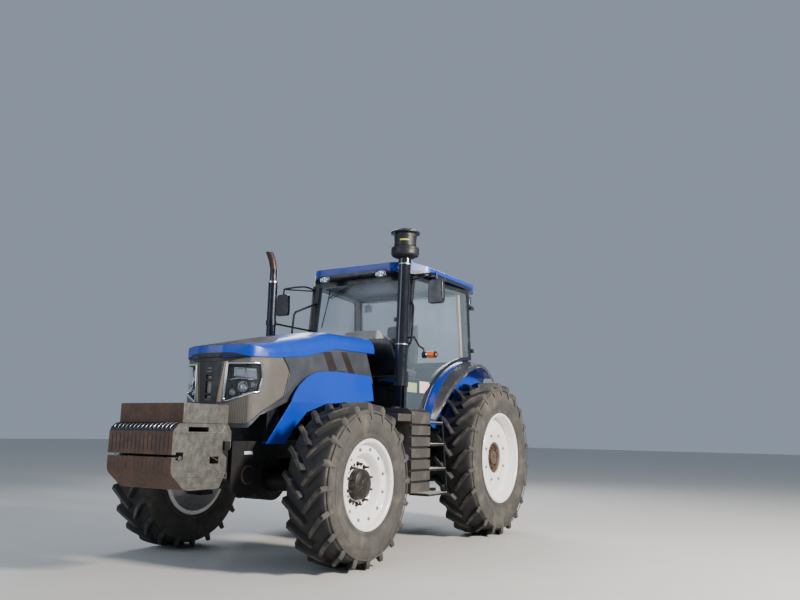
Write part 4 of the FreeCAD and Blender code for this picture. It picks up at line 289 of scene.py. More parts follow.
def axis_frame(axis):
    """Two unit vectors across an axis."""
    axis = Vector(axis).normalized()
    helper = Vector((0, 0, 1)) if abs(axis.z) < 0.9 else Vector((0, 1, 0))
    across = axis.cross(helper).normalized()
    return across, axis.cross(across)


def lathe(profile, centre, axis, segments):
    """Vertices and faces of (along, radius) points turned about an axis; radius 0 closes to a point."""
    axis = Vector(axis).normalized()
    across, up = axis_frame(axis)
    centre = Vector(centre)
    verts, rows = [], []
    for along, radius in profile:
        base = centre + axis * along
        if radius < 1e-6:
            rows.append([len(verts)] * segments)
            verts.append(base)
            continue
        rows.append(list(range(len(verts), len(verts) + segments)))
        for index in range(segments):
            angle = 2 * math.pi * index / segments
            verts.append(base + across * (radius * math.cos(angle)) + up * (radius * math.sin(angle)))
    faces = []
    for low, high in zip(rows, rows[1:]):
        for index in range(segments):
            loop = [low[index - 1], low[index], high[index], high[index - 1]]
            loop = [v for place, v in enumerate(loop) if v != loop[place - 1]]
            if len(loop) > 2:
                faces.append(loop)
    return verts, faces


def hexagon(centre, axis, radius, height):
    """A bolt head on a surface."""
    return lathe([(0, radius), (height * 0.8, radius), (height, radius * 0.85), (height, 0)], centre, axis, 6)


def hoop(centre, axis, inner, outer, half, segments):
    """An open band of some half width round an axis."""
    return lathe([(-half, inner), (-half, outer), (half, outer), (half, inner)], centre, axis, segments)


def belt(count):
    """Faces between two rings of points."""
    return [[k, (k + 1) % count, (k + 1) % count + count, k + count] for k in range(count)]


def mirrored(part):
    """The same vertices and faces on the other side."""
    verts, faces = part
    return [Vector((-v[0], v[1], v[2])) for v in verts], [list(reversed(face)) for face in faces]


def pipe(points, radius, segments=12, closed_ends=True):
    """A round bar along points, mitred."""
    points = [Vector(p) for p in points]
    runs = [(b - a).normalized() for a, b in zip(points, points[1:])]
    across, up = axis_frame(runs[0])
    angles = [2 * math.pi * k / segments for k in range(segments)]
    rings = [[points[0] + (across * math.cos(a) + up * math.sin(a)) * radius for a in angles]]
    for index, run in enumerate(runs):
        normal = run + runs[index + 1] if index + 1 < len(runs) else run
        here = points[index + 1]
        rings.append([v + run * ((here - v).dot(normal) / run.dot(normal)) for v in rings[-1]])
    verts = [v for row in rings for v in row]
    faces = [[index + row * segments for index in face] for row in range(len(runs)) for face in belt(segments)]
    if closed_ends:
        faces += [list(range(segments)), list(range(len(verts) - segments, len(verts)))]
    return verts, faces


def smooth_path(points, steps):
    """Points along a rounded line through given points."""
    points = [Vector(p) for p in points]
    path = []
    for index in range(len(points) - 1):
        before = points[max(index - 1, 0)]
        a, b = points[index], points[index + 1]
        after = points[min(index + 2, len(points) - 1)]
        for step in range(steps):
            t = step / steps
            path.append(0.5 * (2 * a + (b - before) * t + (2 * before - 5 * a + 4 * b - after) * t * t
                               + (3 * a - before - 3 * b + after) * t ** 3))
    return path + [points[-1]]


def block(low, high):
    """A box between two corners."""
    xs, ys, zs = zip(low, high)
    verts = [Vector((x, y, z)) for x in xs for y in ys for z in zs]
    return verts, [[0, 1, 3, 2], [4, 6, 7, 5], [0, 4, 5, 1], [2, 3, 7, 6], [0, 2, 6, 4], [1, 5, 7, 3]]


def prism(outline, axis, low, high):
    """A plate from an outline, of y and z pushed along x, or of x and z pushed along y."""
    verts = [Vector((w, u, v) if axis == "x" else (u, w, v)) for w in (low, high) for u, v in outline]
    count = len(outline)
    return verts, [list(range(count)), list(range(2 * count - 1, count - 1, -1))] + belt(count)


def search_tree(*meshes):
    """A tree to drop points onto the outer form of some meshes."""
    parts = [([v.co.copy() for v in mesh.vertices], [list(p.vertices) for p in mesh.polygons])
             for mesh in meshes]
    return BVHTree.FromPolygons(*merge(parts))


def surface(*nodes):
    """The same of some CAD nodes."""
    return search_tree(*(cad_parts[node].data for node in nodes))


def dropped(tree, point, direction):
    """Where a point meets a surface along a direction, or the surface's nearest point if it misses."""
    spot = tree.ray_cast(Vector(point), Vector(direction))[0]
    return spot if spot is not None else tree.find_nearest(Vector(point))[0]


def draped(tree, rows, direction, lift, sink=0.001):
    """A thin sheet of rows of points dropped onto a surface; direction is one, or a function of the point."""
    verts = []
    for height in (-lift, sink):
        for point in [point for row in rows for point in row]:
            way = Vector(direction(point) if callable(direction) else direction).normalized()
            verts.append(dropped(tree, point, way) + way * height)
    high, wide = len(rows), len(rows[0])
    size = high * wide
    faces = []
    for a in [i * wide + j for i in range(high - 1) for j in range(wide - 1)]:
        faces.append([a, a + 1, a + wide + 1, a + wide])
        faces.append([size + a, size + a + wide, size + a + wide + 1, size + a + 1])
    border = list(range(wide)) + [i * wide + wide - 1 for i in range(1, high)]
    border += [size - 1 - j for j in range(1, wide)] + [i * wide for i in range(high - 2, 0, -1)]
    faces += [[a, b, size + b, size + a] for a, b in zip(border, border[1:] + border[:1])]
    return verts, faces


def between(first, second, share):
    """A point part of the way from one to the other."""
    return Vector(first) * (1 - share) + Vector(second) * share


def quad_rows(corners, high, wide):
    """Rows of points over a four-cornered patch: corners in order round it."""
    a, b, c, d = corners
    ends = [(between(a, d, i / (high - 1)), between(b, c, i / (high - 1))) for i in range(high)]
    return [[between(start, end, j / (wide - 1)) for j in range(wide)] for start, end in ends]


def skin_loops(node, facing):
    """Closed outlines of the parts of a node's skin that face one way."""
    work = bmesh.new()
    work.from_mesh(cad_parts[node].data)
    bmesh.ops.remove_doubles(work, verts=work.verts, dist=WELD)
    work.normal_update()
    skin = {face for face in work.faces if face.normal.dot(facing) > 0.4}
    linked = {}
    for edge in work.edges:
        if sum(face in skin for face in edge.link_faces) == 1:
            a, b = edge.verts
            linked.setdefault(a, []).append(b)
            linked.setdefault(b, []).append(a)
    loops, seen = [], set()
    for start in linked:
        loop, ahead = [], [v for v in [start] if v not in seen]
        while ahead:
            loop.append(ahead[0])
            seen.add(ahead[0])
            ahead = [v for v in linked[ahead[0]] if v not in seen]
        if len(loop) > 2:
            loops.append([v.co.copy() for v in loop])
    work.free()
    return loops


def thinned(loop, step):
    """A closed outline with its closest points left out."""
    kept = [loop[0]]
    for point in loop[1:]:
        if (point - kept[-1]).length > step:
            kept.append(point)
    if (kept[-1] - kept[0]).length < step:
        kept.pop()
    return kept


def closed_pipe(loop, radius, segments):
    """A round bar following a closed outline."""
    middle = (loop[0] + loop[-1]) / 2
    return pipe([middle] + list(loop) + [middle], radius, segments, False)


# Wheels

def wheel_centre(corner, side):
    """The middle of a wheel; a corner is fl, fr, rl or rr."""
    axle = AXLES[corner[0]]
    return Vector((side * axle.x, axle.y, axle.z))


def ring(centre, side, along, radius, count, shift=0.0):
    """Spots evenly round an axle."""
    for index in range(count):
        angle = 2 * math.pi * (index + shift) / count
        yield centre + Vector((side * along, radius * math.cos(angle), radius * math.sin(angle)))


def carcass(spec, centre):
    """The tyre's body: a turned profile from one bead over the tread to the other."""
    radius, section, rim_radius, rim_width, height = spec[:5]
    rise = radius - height - rim_radius
    # x as a share of the section, radius as a share of the height above the rim
    half = [(0.0, 1.0), (0.15, 0.998), (0.30, 0.985), (0.38, 0.965), (0.43, 0.92), (0.455, 0.85),
            (0.468, 0.74), (0.485, 0.62), (0.494, 0.50), (0.49, 0.40), (0.478, 0.30), (0.462, 0.20),
            (0.456, 0.19), (0.452, 0.15), (0.456, 0.11), (0.462, 0.05), (0.455, 0.015)]
    right = [(section * share, rim_radius + rise * part) for share, part in half]
    right.append((rim_width / 2 - 0.014, rim_radius + 0.001))
    return lathe([(-x, r) for x, r in reversed(right)] + right[1:], centre, (1, 0, 0), 144)


def lug(spec, centre, flip, start):
    """One curved lug from near the centre line over the shoulder onto the sidewall."""
    radius, section, count = spec[0], spec[1], spec[5]
    # share of the way out, depth of the top below the tyre's radius, depth of the foot, half width top, foot
    rows = [(0.0, 0.003, 0.060, 0.0145, 0.029), (0.13, 0.000, 0.060, 0.0165, 0.030),
            (0.38, 0.001, 0.060, 0.0175, 0.030), (0.62, 0.003, 0.066, 0.018, 0.030),
            (0.82, 0.006, 0.080, 0.019, 0.031), (0.94, 0.012, 0.105, 0.0195, 0.031),
            (1.0, 0.032, 0.128, 0.019, 0.029), (1.03, 0.072, 0.145, 0.016, 0.025),
            (1.04, 0.118, 0.155, 0.012, 0.017)]
    sweep = 2 * math.pi / count * LUG_SWEEP
    inner_x, outer_x, widest = 0.012, 0.474 * section, 0.4985 * section

    def spot(share):
        return inner_x + (outer_x - inner_x) * share, start + sweep * max(1 - share, 0) ** 1.3
    verts = []
    for share, top, foot, half_top, half_foot in rows:
        x, angle = spot(share)
        ahead, back = spot(min(share + 0.02, 1.0)), spot(min(share, 0.98))
        run = Vector((ahead[0] - back[0], (ahead[1] - back[1]) * radius)).normalized()
        for half, depth in ((-half_foot, foot), (-half_top, top + 0.005), (-half_top * 0.75, top),
                            (half_top * 0.75, top), (half_top, top + 0.005), (half_foot, foot)):
            turn = angle + run.x * half / radius
            reach = depth - radius
            out = flip * min(x - run.y * half, widest)
            verts.append(centre + Vector((out, reach * math.cos(turn), reach * math.sin(turn))))
    last = len(verts) - 6
    faces = [[a, a + 1, a + 7, a + 6] for row in range(0, last, 6) for a in range(row, row + 5)]
    return verts, faces + [[0, 1, 2, 3, 4, 5], list(range(last, last + 6))]


def tyre(corner, side):
    """A dusty tractor tyre with two staggered rows of lugs and moulded rings on its sidewall."""
    spec, centre = TYRES[corner[0]], wheel_centre(corner, side)
    name, body = "tyre_" + corner, "wheel_" + corner
    radius, section, rim_radius = spec[:3]
    pitch = 2 * math.pi / spec[5]
    first = math.pi / 2 - 0.020 / radius - pitch * LUG_SWEEP
    parts = [carcass(spec, centre)]
    for index in range(spec[5]):
        parts += [lug(spec, centre, 1, first - index * pitch), lug(spec, centre, -1, first - (index + 0.5) * pitch)]
    obj = piece(name + "_look", parts, SIDEWALL, body, [name], 40.0)
    # the tread between and beside the lugs is darkened as painted shade; the lug tops are worn, dusty rubber
    for finish, depth, share in ((TREAD_AND_SHADE, 0.085, 0.43), (LUG_TOP, 0.008, 0.46)):
        repaint(obj, finish, lambda spot, _: abs(spot.x - centre.x) < section * share
                and math.hypot(spot.y - centre.y, spot.z - centre.z) > radius - depth)
    bevelled(obj, 0.003, 2, 45.0)
    tree = search_tree(obj.data)
    ridges = []
    # radius, width and height of each moulded ring
    for reach, wide, high in ((rim_radius + 0.022, 0.005, 0.0030), (rim_radius + 0.040, 0.003, 0.0020),
                              (rim_radius + 0.135, 0.003, 0.0018), (radius - 0.088, 0.006, 0.0030)):
        out = abs(dropped(tree, (side * 1.6, centre.y, centre.z + reach), (-side, 0, 0)).x)
        profile = [(side * (out + rise), reach + wide * share)
                   for rise, share in ((-0.004, -1), (high, -0.3), (high, 0.3), (-0.004, 1))]
        ridges.append(lathe(profile, (0, centre.y, centre.z), (1, 0, 0), 96))
    piece(name + "_rings", ridges, SIDEWALL, body, sharp=60.0)


# Rims: profile of distance along the axle and radius; bolts: count, distance, circle, washer, head's size
RIMS = {
    "f": ([(-0.2, 0.344), (-0.2, 0.374), (-0.195, 0.380), (-0.188, 0.376), (-0.186, 0.356), (0.0, 0.350),
           (0.186, 0.356), (0.188, 0.376), (0.194, 0.380), (0.2, 0.374), (0.2, 0.366), (0.192, 0.352),
           (0.185, 0.346), (0.150, 0.340), (0.146, 0.333), (0.141, 0.330), (0.141, 0.262), (0.136, 0.254),
           (0.082, 0.226), (0.070, 0.216), (0.066, 0.205), (0.066, 0.133), (0.050, 0.133), (0.050, 0.205),
           (0.056, 0.225), (0.122, 0.262), (0.125, 0.330), (-0.185, 0.344)],
          12, 0.141, 0.296, 0.017, (0.0115, 0.012)),
    "r": ([(-0.214, 0.471), (-0.214, 0.500), (-0.209, 0.507), (-0.202, 0.503), (-0.200, 0.483), (0.0, 0.477),
           (0.200, 0.483), (0.202, 0.503), (0.208, 0.507), (0.214, 0.500), (0.214, 0.492), (0.206, 0.478),
           (0.198, 0.472), (0.110, 0.466), (0.098, 0.460), (0.096, 0.450), (0.126, 0.340), (0.130, 0.325),
           (0.130, 0.182), (0.127, 0.176), (0.114, 0.176), (0.114, 0.325), (0.080, 0.452), (0.078, 0.466),
           (-0.2, 0.471)],
          8, 0.130, 0.262, 0.020, (0.014, 0.014))}


def rim(corner, side):
    """A rim with its lip, barrel and dish, and its bolts on washers."""
    profile, count, along, circle, washer, head = RIMS[corner[0]]
    centre, wheel = wheel_centre(corner, side), "wheel_" + corner
    turned = lathe([(side * x, r) for x, r in profile + profile[:1]], centre, (1, 0, 0), 96)
    piece("rim_%s_look" % corner, [turned], WHITE, wheel, ["rim_" + corner], 40.0)
    bolts = []
    for spot in ring(centre, side, along, circle, count, 0.5):
        bolts += [lathe([(-0.001, washer), (0.003, washer - 0.001), (0.004, 0.0)], spot, (side, 0, 0), 16),
                  hexagon(spot, (side, 0, 0), *head)]
    piece("rim_bolts_" + corner, bolts, DULL, wheel)


def front_hub(corner, side):
    """The front hub: a brown cover with a shallow ribbed cap and a ring of long studs."""
    centre, wheel, axis = wheel_centre(corner, side), "wheel_" + corner, (side, 0, 0)
    profile = [(0.028, 0.0), (0.028, 0.165), (0.0500, 0.165), (0.0500, 0.129), (0.075, 0.129), (0.120, 0.126),
               (0.132, 0.122), (0.137, 0.114), (0.139, 0.100), (0.142, 0.096), (0.146, 0.070),
               (0.147, 0.040), (0.150, 0.036), (0.151, 0.0)]
    parts = [lathe([(side * x, r) for x, r in profile], centre, (1, 0, 0), 64)]
    parts += [pipe(ends, 0.0035, 6) for ends in zip(ring(centre, side, 0.1465, 0.040, 12),
                                                     ring(centre, side, 0.1405, 0.094, 12))]
    studs = []
    for spot in ring(centre, side, 0.066, 0.1675, 10, 0.5):
        studs += [lathe([(-0.001, 0.021), (0.004, 0.021), (0.004, 0.0)], spot, axis, 18),
                  hexagon(spot + Vector((side * 0.004, 0, 0)), axis, 0.0155, 0.014),
                  lathe([(0.014, 0.0095), (0.052, 0.0095), (0.054, 0.0)], spot, axis, 12)]
    for spot in ring(centre, side, 0.0665, 0.166, 10):
        studs.append(lathe([(0, 0.013), (0.006, 0.012), (0.006, 0.0)], spot, axis, 14))
    piece("hub_studs_" + corner, studs, BOLT, wheel)
    piece("hub_%s_look" % corner, parts, HUB, wheel, ["hub_" + corner])


def rear_hub(corner, side):
    """The recessed rear flange with its studs and the shaft's end."""
    centre, axis = wheel_centre(corner, side), (side, 0, 0)
    profile = [(0.070, 0.0), (0.070, 0.205), (0.1140, 0.205), (0.1140, 0.150), (0.108, 0.144), (0.090, 0.138),
               (0.090, 0.084), (0.100, 0.080), (0.118, 0.076), (0.122, 0.070), (0.122, 0.030),
               (0.116, 0.026), (0.116, 0.0)]
    parts = [lathe([(side * x, r) for x, r in profile], centre, (1, 0, 0), 64)]
    for spot in ring(centre, side, 0.090, 0.112, 8):
        parts += [hexagon(spot, axis, 0.017, 0.016),
                  lathe([(0.016, 0.010), (0.030, 0.010), (0.032, 0.0)], spot, axis, 12)]
    piece("hub_%s_look" % corner, parts, BOSS, "wheel_" + corner, ["hub_" + corner])


# Nose, hood and front ballast

def headlamp(side, suffix):
    """A headlamp: clear lens in a bright bezel over a bowl with reflectors and a ball lamp."""
    inward, across, up = Vector((-side * 0.5, 0.866, 0)), Vector((side * 0.866, 0.5, 0)), Vector((0, 0, 1))
    loop = thinned([loop for loop in skin_loops("headlamps", -inward) if loop[0].x * side > 0][0], 0.012)
    count = len(loop)
    middle = sum(loop, Vector()) / count

    def lamp(name, parts, finish, sharp=35.0):
        piece("lamp_%s_%s" % (name, suffix), parts, finish, "hood", sharp=sharp)

    def spot(u, v, depth):
        return middle + across * u + up * v + inward * depth
    lamp("bezel", [closed_pipe([point - inward * 0.001 for point in loop], 0.0105, 12)], CHROME)
    inner = [between(middle, point, 0.945) - inward * 0.001 for point in loop]
    lamp("frame", [closed_pipe(inner, 0.0045, 8)], RUBBER_AND_SHADOW)
    back = [between(middle, point, 0.80) + inward * 0.085 for point in loop]
    verts = [point + inward * 0.0205 for point in loop] + back + [sum(back, Vector()) / count]
    faces = belt(count) + [[k + count, (k + 1) % count + count, 2 * count] for k in range(count)]
    lamp("bowl", [(verts, faces)], BOWL, 20.0)
    parts = []
    # upper reflector cells: offset along and up, half width, half height
    for u, v, half_w, half_h in ((-0.045, 0.085, 0.048, 0.040), (0.055, 0.075, 0.044, 0.044)):
        corners = [(-half_w, -half_h * 0.8), (half_w, -half_h), (half_w * 0.85, half_h * 0.9), (-half_w, half_h)]
        line = [spot(u + a, v + b, 0.040) for a, b in corners]
        floor = [spot(u + a * 0.75, v + b * 0.75, 0.066) for a, b in corners]
        parts += [closed_pipe(line, 0.0045, 8), (line + floor, belt(4) + [[4, 5, 6, 7]])]
    # eyelid over the lower lamps
    lid = [(-0.125, 0.020, 0.030), (-0.05, 0.034, 0.032), (0.03, 0.026, 0.034), (0.105, 0.030, 0.038)]
    parts.append(pipe(smooth_path([spot(*place) for place in lid], 5), 0.006, 8))
    balls = []
    # lower lamps: offset along and up, radius of the reflector and of the ball
    for u, v, radius, ball in ((-0.005, -0.040, 0.046, 0.030), (-0.092, -0.088, 0.027, 0.015),
                               (0.085, -0.025, 0.026, 0.014)):
        profile = [(-0.030, radius), (-0.036, radius * 0.96), (-0.030, radius * 0.88), (0.0, radius * 0.7),
                   (0.012, 0.0)]
        parts.append(lathe(profile, spot(u, v, 0.030), inward, 28))
        dome = [(-ball * math.cos(math.radians(a)), ball * math.sin(math.radians(a))) for a in range(0, 91, 15)]
        balls.append(lathe(dome, spot(u, v, 0.032), inward, 24))
    lamp("reflectors", parts, CHROME, 25.0)
    lamp("balls", balls, GLOW)


def nose_trim():
    """Black outlines of the mesh nose, light strips painted as highlights, the black band over the grille with
    painted shadow along the cap's front edge, its ribs and slats.
    """
    side_tree = surface("hood_sides", "nose_panel")
    front_tree = surface("nose_panel", "grille", "headlamps", "hood_sides")
    cap_tree = surface("hood_cap", "nose_panel", "grille", "hood_sides")
    # y and z of the line between the mesh and the painted side, and of the seam below it
    line = [(-1.424, 1.768), (-1.398, 1.742), (-1.345, 1.680), (-1.325, 1.638), (-1.333, 1.595), (-1.385, 1.428),
            (-1.420, 1.398), (-1.60, 1.308), (-1.650, 1.278)]
    line = smooth_path([(0, *point) for point in line], 3)
    seam = [(-1.650, 1.278), (-1.70, 1.236), (-1.745, 1.197)]

    def brow(side, j, share):
        """A point ahead of the front edge of the cap, on the dark strip along it, painted shadow over the lamps."""
        angle = math.radians(38) * j / 24
        z = 1.7310 + (0.040 - 0.034 * max(0.0, (j - 15) / 9)) * share
        return Vector((side * 0.95 * math.sin(angle), -1.3 - 0.95 * math.cos(angle), z))
    outline, strips, band = [], [], []
    for side in (1, -1):
        inward, out = (-side, 0, 0), Vector((side * 0.001, 0, 0))
        outline += [pipe([dropped(side_tree, (side, p.y, p.z), inward) + out for p in line], 0.0075, 8),
                    pipe([dropped(side_tree, (side, *point), inward) for point in seam], 0.004, 8)]
        # light tan strips beside the grille: painted highlight where the nose curves outward
        corners = [(side * x, NOSE_AHEAD_Y, z)
                   for x, z in ((0.158, 1.694), (0.182, 1.700), (0.148, 1.352), (0.106, 1.352))]
        strips.append(draped(front_tree, quad_rows(corners, 12, 4), (0, 1, 0), 0.007))
        # dark strip along the cap's front edge: painted shadow over the lamps, black band over the grille
        rows = [[brow(side, j, share) for j in range(25)] for share in (0, 0.08, 0.33, 0.67, 1)]
        band.append(draped(cap_tree, rows, lambda point: (-point.x, -1.3 - point.y, 0), 0.004))
        rows = [[(side * reach * j / 16, NOSE_AHEAD_Y, z) for j in range(17)]
                for z, reach in ((1.746, 0.335), (1.732, 0.322), (1.718, 0.262), (1.700, 0.205))]
        band.append(draped(front_tree, rows, (0, 1, 0), 0.0045))
    piece("nose_outline", outline, RUBBER_AND_SHADOW, "hood")
    bevelled(piece("nose_highlight_strips", strips, TRIM_AND_HIGHLIGHT, "hood", sharp=50.0), 0.004, 3, 50.0)
    piece("nose_band_and_shadow", band, PLASTIC_AND_SHADE, "hood", sharp=50.0)
    ribs = []
    for z in (1.640, 1.612, 1.370):
        corners = [(x, NOSE_AHEAD_Y, z + a) for x, a in ((-0.030, 0.005), (0.030, 0.005), (0.030, -0.005),
                                                         (-0.030, -0.005))]
        ribs.append(draped(front_tree, quad_rows(corners, 2, 5), (0, 1, 0), 0.003))
    piece("grille_ribs", ribs, SILVER, "hood", sharp=50.0)
    backing = [block((-0.040, -1.8565, 1.378), (0.040, -1.8500, 1.588))]
    backing += [block((-0.040, -1.8585, z), (0.040, -1.8555, z + 0.004)) for z in (1.41, 1.445, 1.48, 1.515, 1.55)]
    bevelled(piece("grille_backing", backing, TRIM_AND_HIGHLIGHT, "hood"), 0.0008, 1)


def hood_trim():
    """The mesh on the hood's top, the slanted stripes on its sides and a dark line along the edge of its wheel arch,
    painted shadow of the gap there.
    """
    # y and half width of the mesh patch
    shape = [(-1.868, 0.235), (-1.845, 0.275), (-1.80, 0.298), (-1.70, 0.335), (-1.60, 0.360), (-1.50, 0.360),
             (-1.42, 0.345), (-1.35, 0.305), (-1.29, 0.250), (-1.25, 0.185), (-1.235, 0.12)]
    rows = [[(half * share / 5, y, HOOD_ABOVE_Z) for share in range(-5, 6)] for y, half in shape]
    mesh = draped(surface("hood_cap"), rows, (0, 0, -1), 0.003)
    piece("hood_mesh", [mesh], TOP_MESH, "hood", sharp=50.0)
    side_tree = surface("hood_sides")
    # y and z corners of the stripes, finish
    stripes = [([(-0.835, 1.868), (-0.705, 1.880), (-0.560, 1.655), (-0.700, 1.650)], BROWN),
               ([(-0.540, 1.895), (-0.445, 1.903), (-0.262, 1.655), (-0.375, 1.655)], BROWN),
               ([(-0.640, 1.712), (-0.455, 1.712), (-0.415, 1.655), (-0.625, 1.655)], PLASTIC_AND_SHADE)]
    for number, (corners, finish) in enumerate(stripes):
        parts = [draped(side_tree, quad_rows([(side, *corner) for corner in corners], 4, 4), (-side, 0, 0),
                        0.0012 + 0.0006 * number) for side in (1, -1)]
        piece("hood_stripe_%d" % number, parts, finish, "hood", sharp=50.0)
    # y and z of the arch's edge
    lip = [(-1.600, 1.276), (-1.44, 1.338), (-1.320, 1.384), (-1.22, 1.425), (-1.00, 1.478), (-0.80, 1.526),
           (-0.64, 1.560), (-0.42, 1.594), (-0.23, 1.6195), (0.035, 1.6205)]
    # dark line along the arch's edge: painted shadow in the gap above the guard
    edge = pipe(smooth_path([(0.4295, *point) for point in lip], 3), 0.006, 8)
    piece("hood_arch_shadow_line", [edge, mirrored(edge)], RUBBER_AND_SHADOW, "hood")


def scoop(low, high):
    """A curved dark sheet over the upper front corner of a weight plate: painted shade."""
    line = [(-2.5592, 1.108), (-2.556, 1.122), (-2.545, 1.136), (-2.522, 1.152), (-2.502, 1.163), (-2.482, 1.1665),
            (-2.474, 1.1665)]
    verts = [Vector((x, y, z)) for y, z in line for x in (low, high)]
    back = [v + Vector((0, 0.006, -0.006)) for v in verts]
    count = len(verts)
    faces = [[k, k + 1, k + 3, k + 2] for k in range(0, count - 2, 2)]
    faces += [[a + count for a in reversed(face)] for face in faces]
    rim = [0] + list(range(1, count, 2)) + list(range(count - 2, 0, -2))
    return verts + back, faces + [[a, b, b + count, a + count] for a, b in zip(rim, rim[-1:] + rim[:-1])]


def ballast():
    """Grey castings rusty at the front: scoops and seams in painted shade, bright ribs, marked sides and the rod."""
    for node, bevel in (("front_weights", 0.005), ("weight_block", 0.006)):
        repaint(dressed(node, IRON, "weight_iron", bevel), RUST, lambda centre, normal: normal.y < -0.35)
    lows = [PLATES_LOW_X + index * PLATE_PITCH for index in range(PLATES)]
    # dark sheets over the plates' upper front corners: painted shade
    scoops = [scoop(low + 0.009, low + PLATE_PITCH - 0.011) for low in lows]
    piece("weight_scoop_shade", scoops, PAINTED_SHADE, sharp=50.0)
    tree = surface("front_weights")
    seams, arcs = [], []
    arc = [(-2.5568, 1.100), (-2.5555, 1.118), (-2.547, 1.136), (-2.526, 1.154), (-2.505, 1.1655), (-2.480, 1.1675)]
    # dark strips over the fronts of the gaps between plates: painted shade
    for x in [low - 0.001 for low in lows[1:]]:
        for heights in ((0.680, 0.74, 0.80, 0.86), (0.96, 1.02, 1.07, 1.10)):
            rows = [[(x + a, -2.75, z) for a in (-0.0040, 0.0040)] for z in heights]
            seams.append(draped(tree, rows, (0, 1, 0), 0.0003))
        arcs.append(pipe([(x, *point) for point in arc], 0.0030, 8))
    piece("weight_seam_shade", seams, PAINTED_SHADE, sharp=60.0)
    piece("weight_arcs", arcs, SILVER)
    marks, rod_y, rod_z = [], -2.484, 0.9043
    rod = [pipe([(PLATES_LOW_X - 0.0012, rod_y, rod_z), (PLATES_HIGH_X + 0.0012, rod_y, rod_z)], 0.0134, 16)]
    for side, x in ((1, PLATES_HIGH_X), (-1, PLATES_LOW_X)):
        for y, z, radius in ((-2.156, 1.024, 0.020), (-2.369, 0.815, 0.020), (-2.10, 1.05, 0.006),
                             (-2.30, 1.03, 0.006)):
            marks.append(lathe([(-0.004, radius), (0.002, radius), (0.0035, radius * 0.7), (0.0035, 0.0)],
                               (x, y, z), (side, 0, 0), 20))
        for y, z in ((-2.30, 0.700), (-2.03, 0.760)):
            corners = [Vector((x, y + a * 0.055, z + b * 0.018)) for a, b in ((-1, -1), (1, -1), (1, 1), (-1, 1))]
            marks.append(closed_pipe(corners, 0.0038, 6))
        marks.append(pipe([(x, -2.545, 1.085), (x, -2.05, 1.095), (x, -2.02, 1.150)], 0.0036, 6))
        for start, end in (((-2.20, 0.93), (-2.03, 0.86)), ((-2.22, 0.86), (-2.05, 0.79)),
                           ((-2.40, 1.09), (-2.40, 0.94)), ((-2.42, 0.76), (-2.25, 0.76))):
            marks.append(pipe([(x, *start), (x, *end)], 0.0032, 6))
    rod += [hexagon((x, rod_y, rod_z), (side, 0, 0), 0.019, 0.012)
            for side, x in ((-1, PLATES_LOW_X - 0.0002), (1, PLATES_HIGH_X + 0.0002))]
    piece("weight_marks", marks, IRON)
    piece("weight_rod_shine", rod, STEEL)


def frame_trim():
    """A white blank label and a rusty round boss on each side of the front frame."""
    profile = [(0.0, 0.080), (0.012, 0.080), (0.018, 0.074), (0.022, 0.045), (0.024, 0.0)]
    sides = (1, -1)
    labels = [block((side * 0.2995, -1.712, 0.920), (side * 0.3012, -1.610, 0.945)) for side in sides]
    bosses = [lathe(profile, (side * 0.2995, -1.665, 0.752), (side, 0, 0), 40) for side in sides]
    piece("frame_labels", labels, PAPER)
    piece("frame_bosses", bosses, BOSS)


# Cab, stacks and mudguards

def fender_trim():
    """Worn light edges along the mudguards' flares and walls."""
    # angle, reach of the flare beyond the wall
    table = [(158, 0.130), (146, 0.185), (133, 0.225), (118, 0.260), (100, 0.255), (84, 0.210), (70, 0.165),
             (60, 0.140)]

    def reach(degrees):
        for (high, first), (low, second) in zip(table, table[1:]):
            if degrees >= low:
                return second + (first - second) * (degrees - low) / (high - low)
    lip, seam = [], []
    for index in range(57):
        degrees = 157.5 - 97.0 * index / 56
        out = Vector((0, math.cos(math.radians(degrees)), math.sin(math.radians(degrees))))
        for line, x, radius in ((lip, 0.734 + reach(degrees), 1.0455), (seam, 0.7245, 1.1130)):
            line.append(Vector((x, AXLES["r"].y, AXLES["r"].z)) + out * radius)
    parts = [pipe(lip, 0.0052, 8), pipe(seam[:44], 0.0035, 8)]
    piece("fender_edges", parts + [mirrored(part) for part in parts], EDGE)


def screen(x, z, lift):
    """A point just ahead of the windscreen."""
    return Vector((x, 0.285 + 0.14 * (z - 1.83) / 1.02 - lift, z))


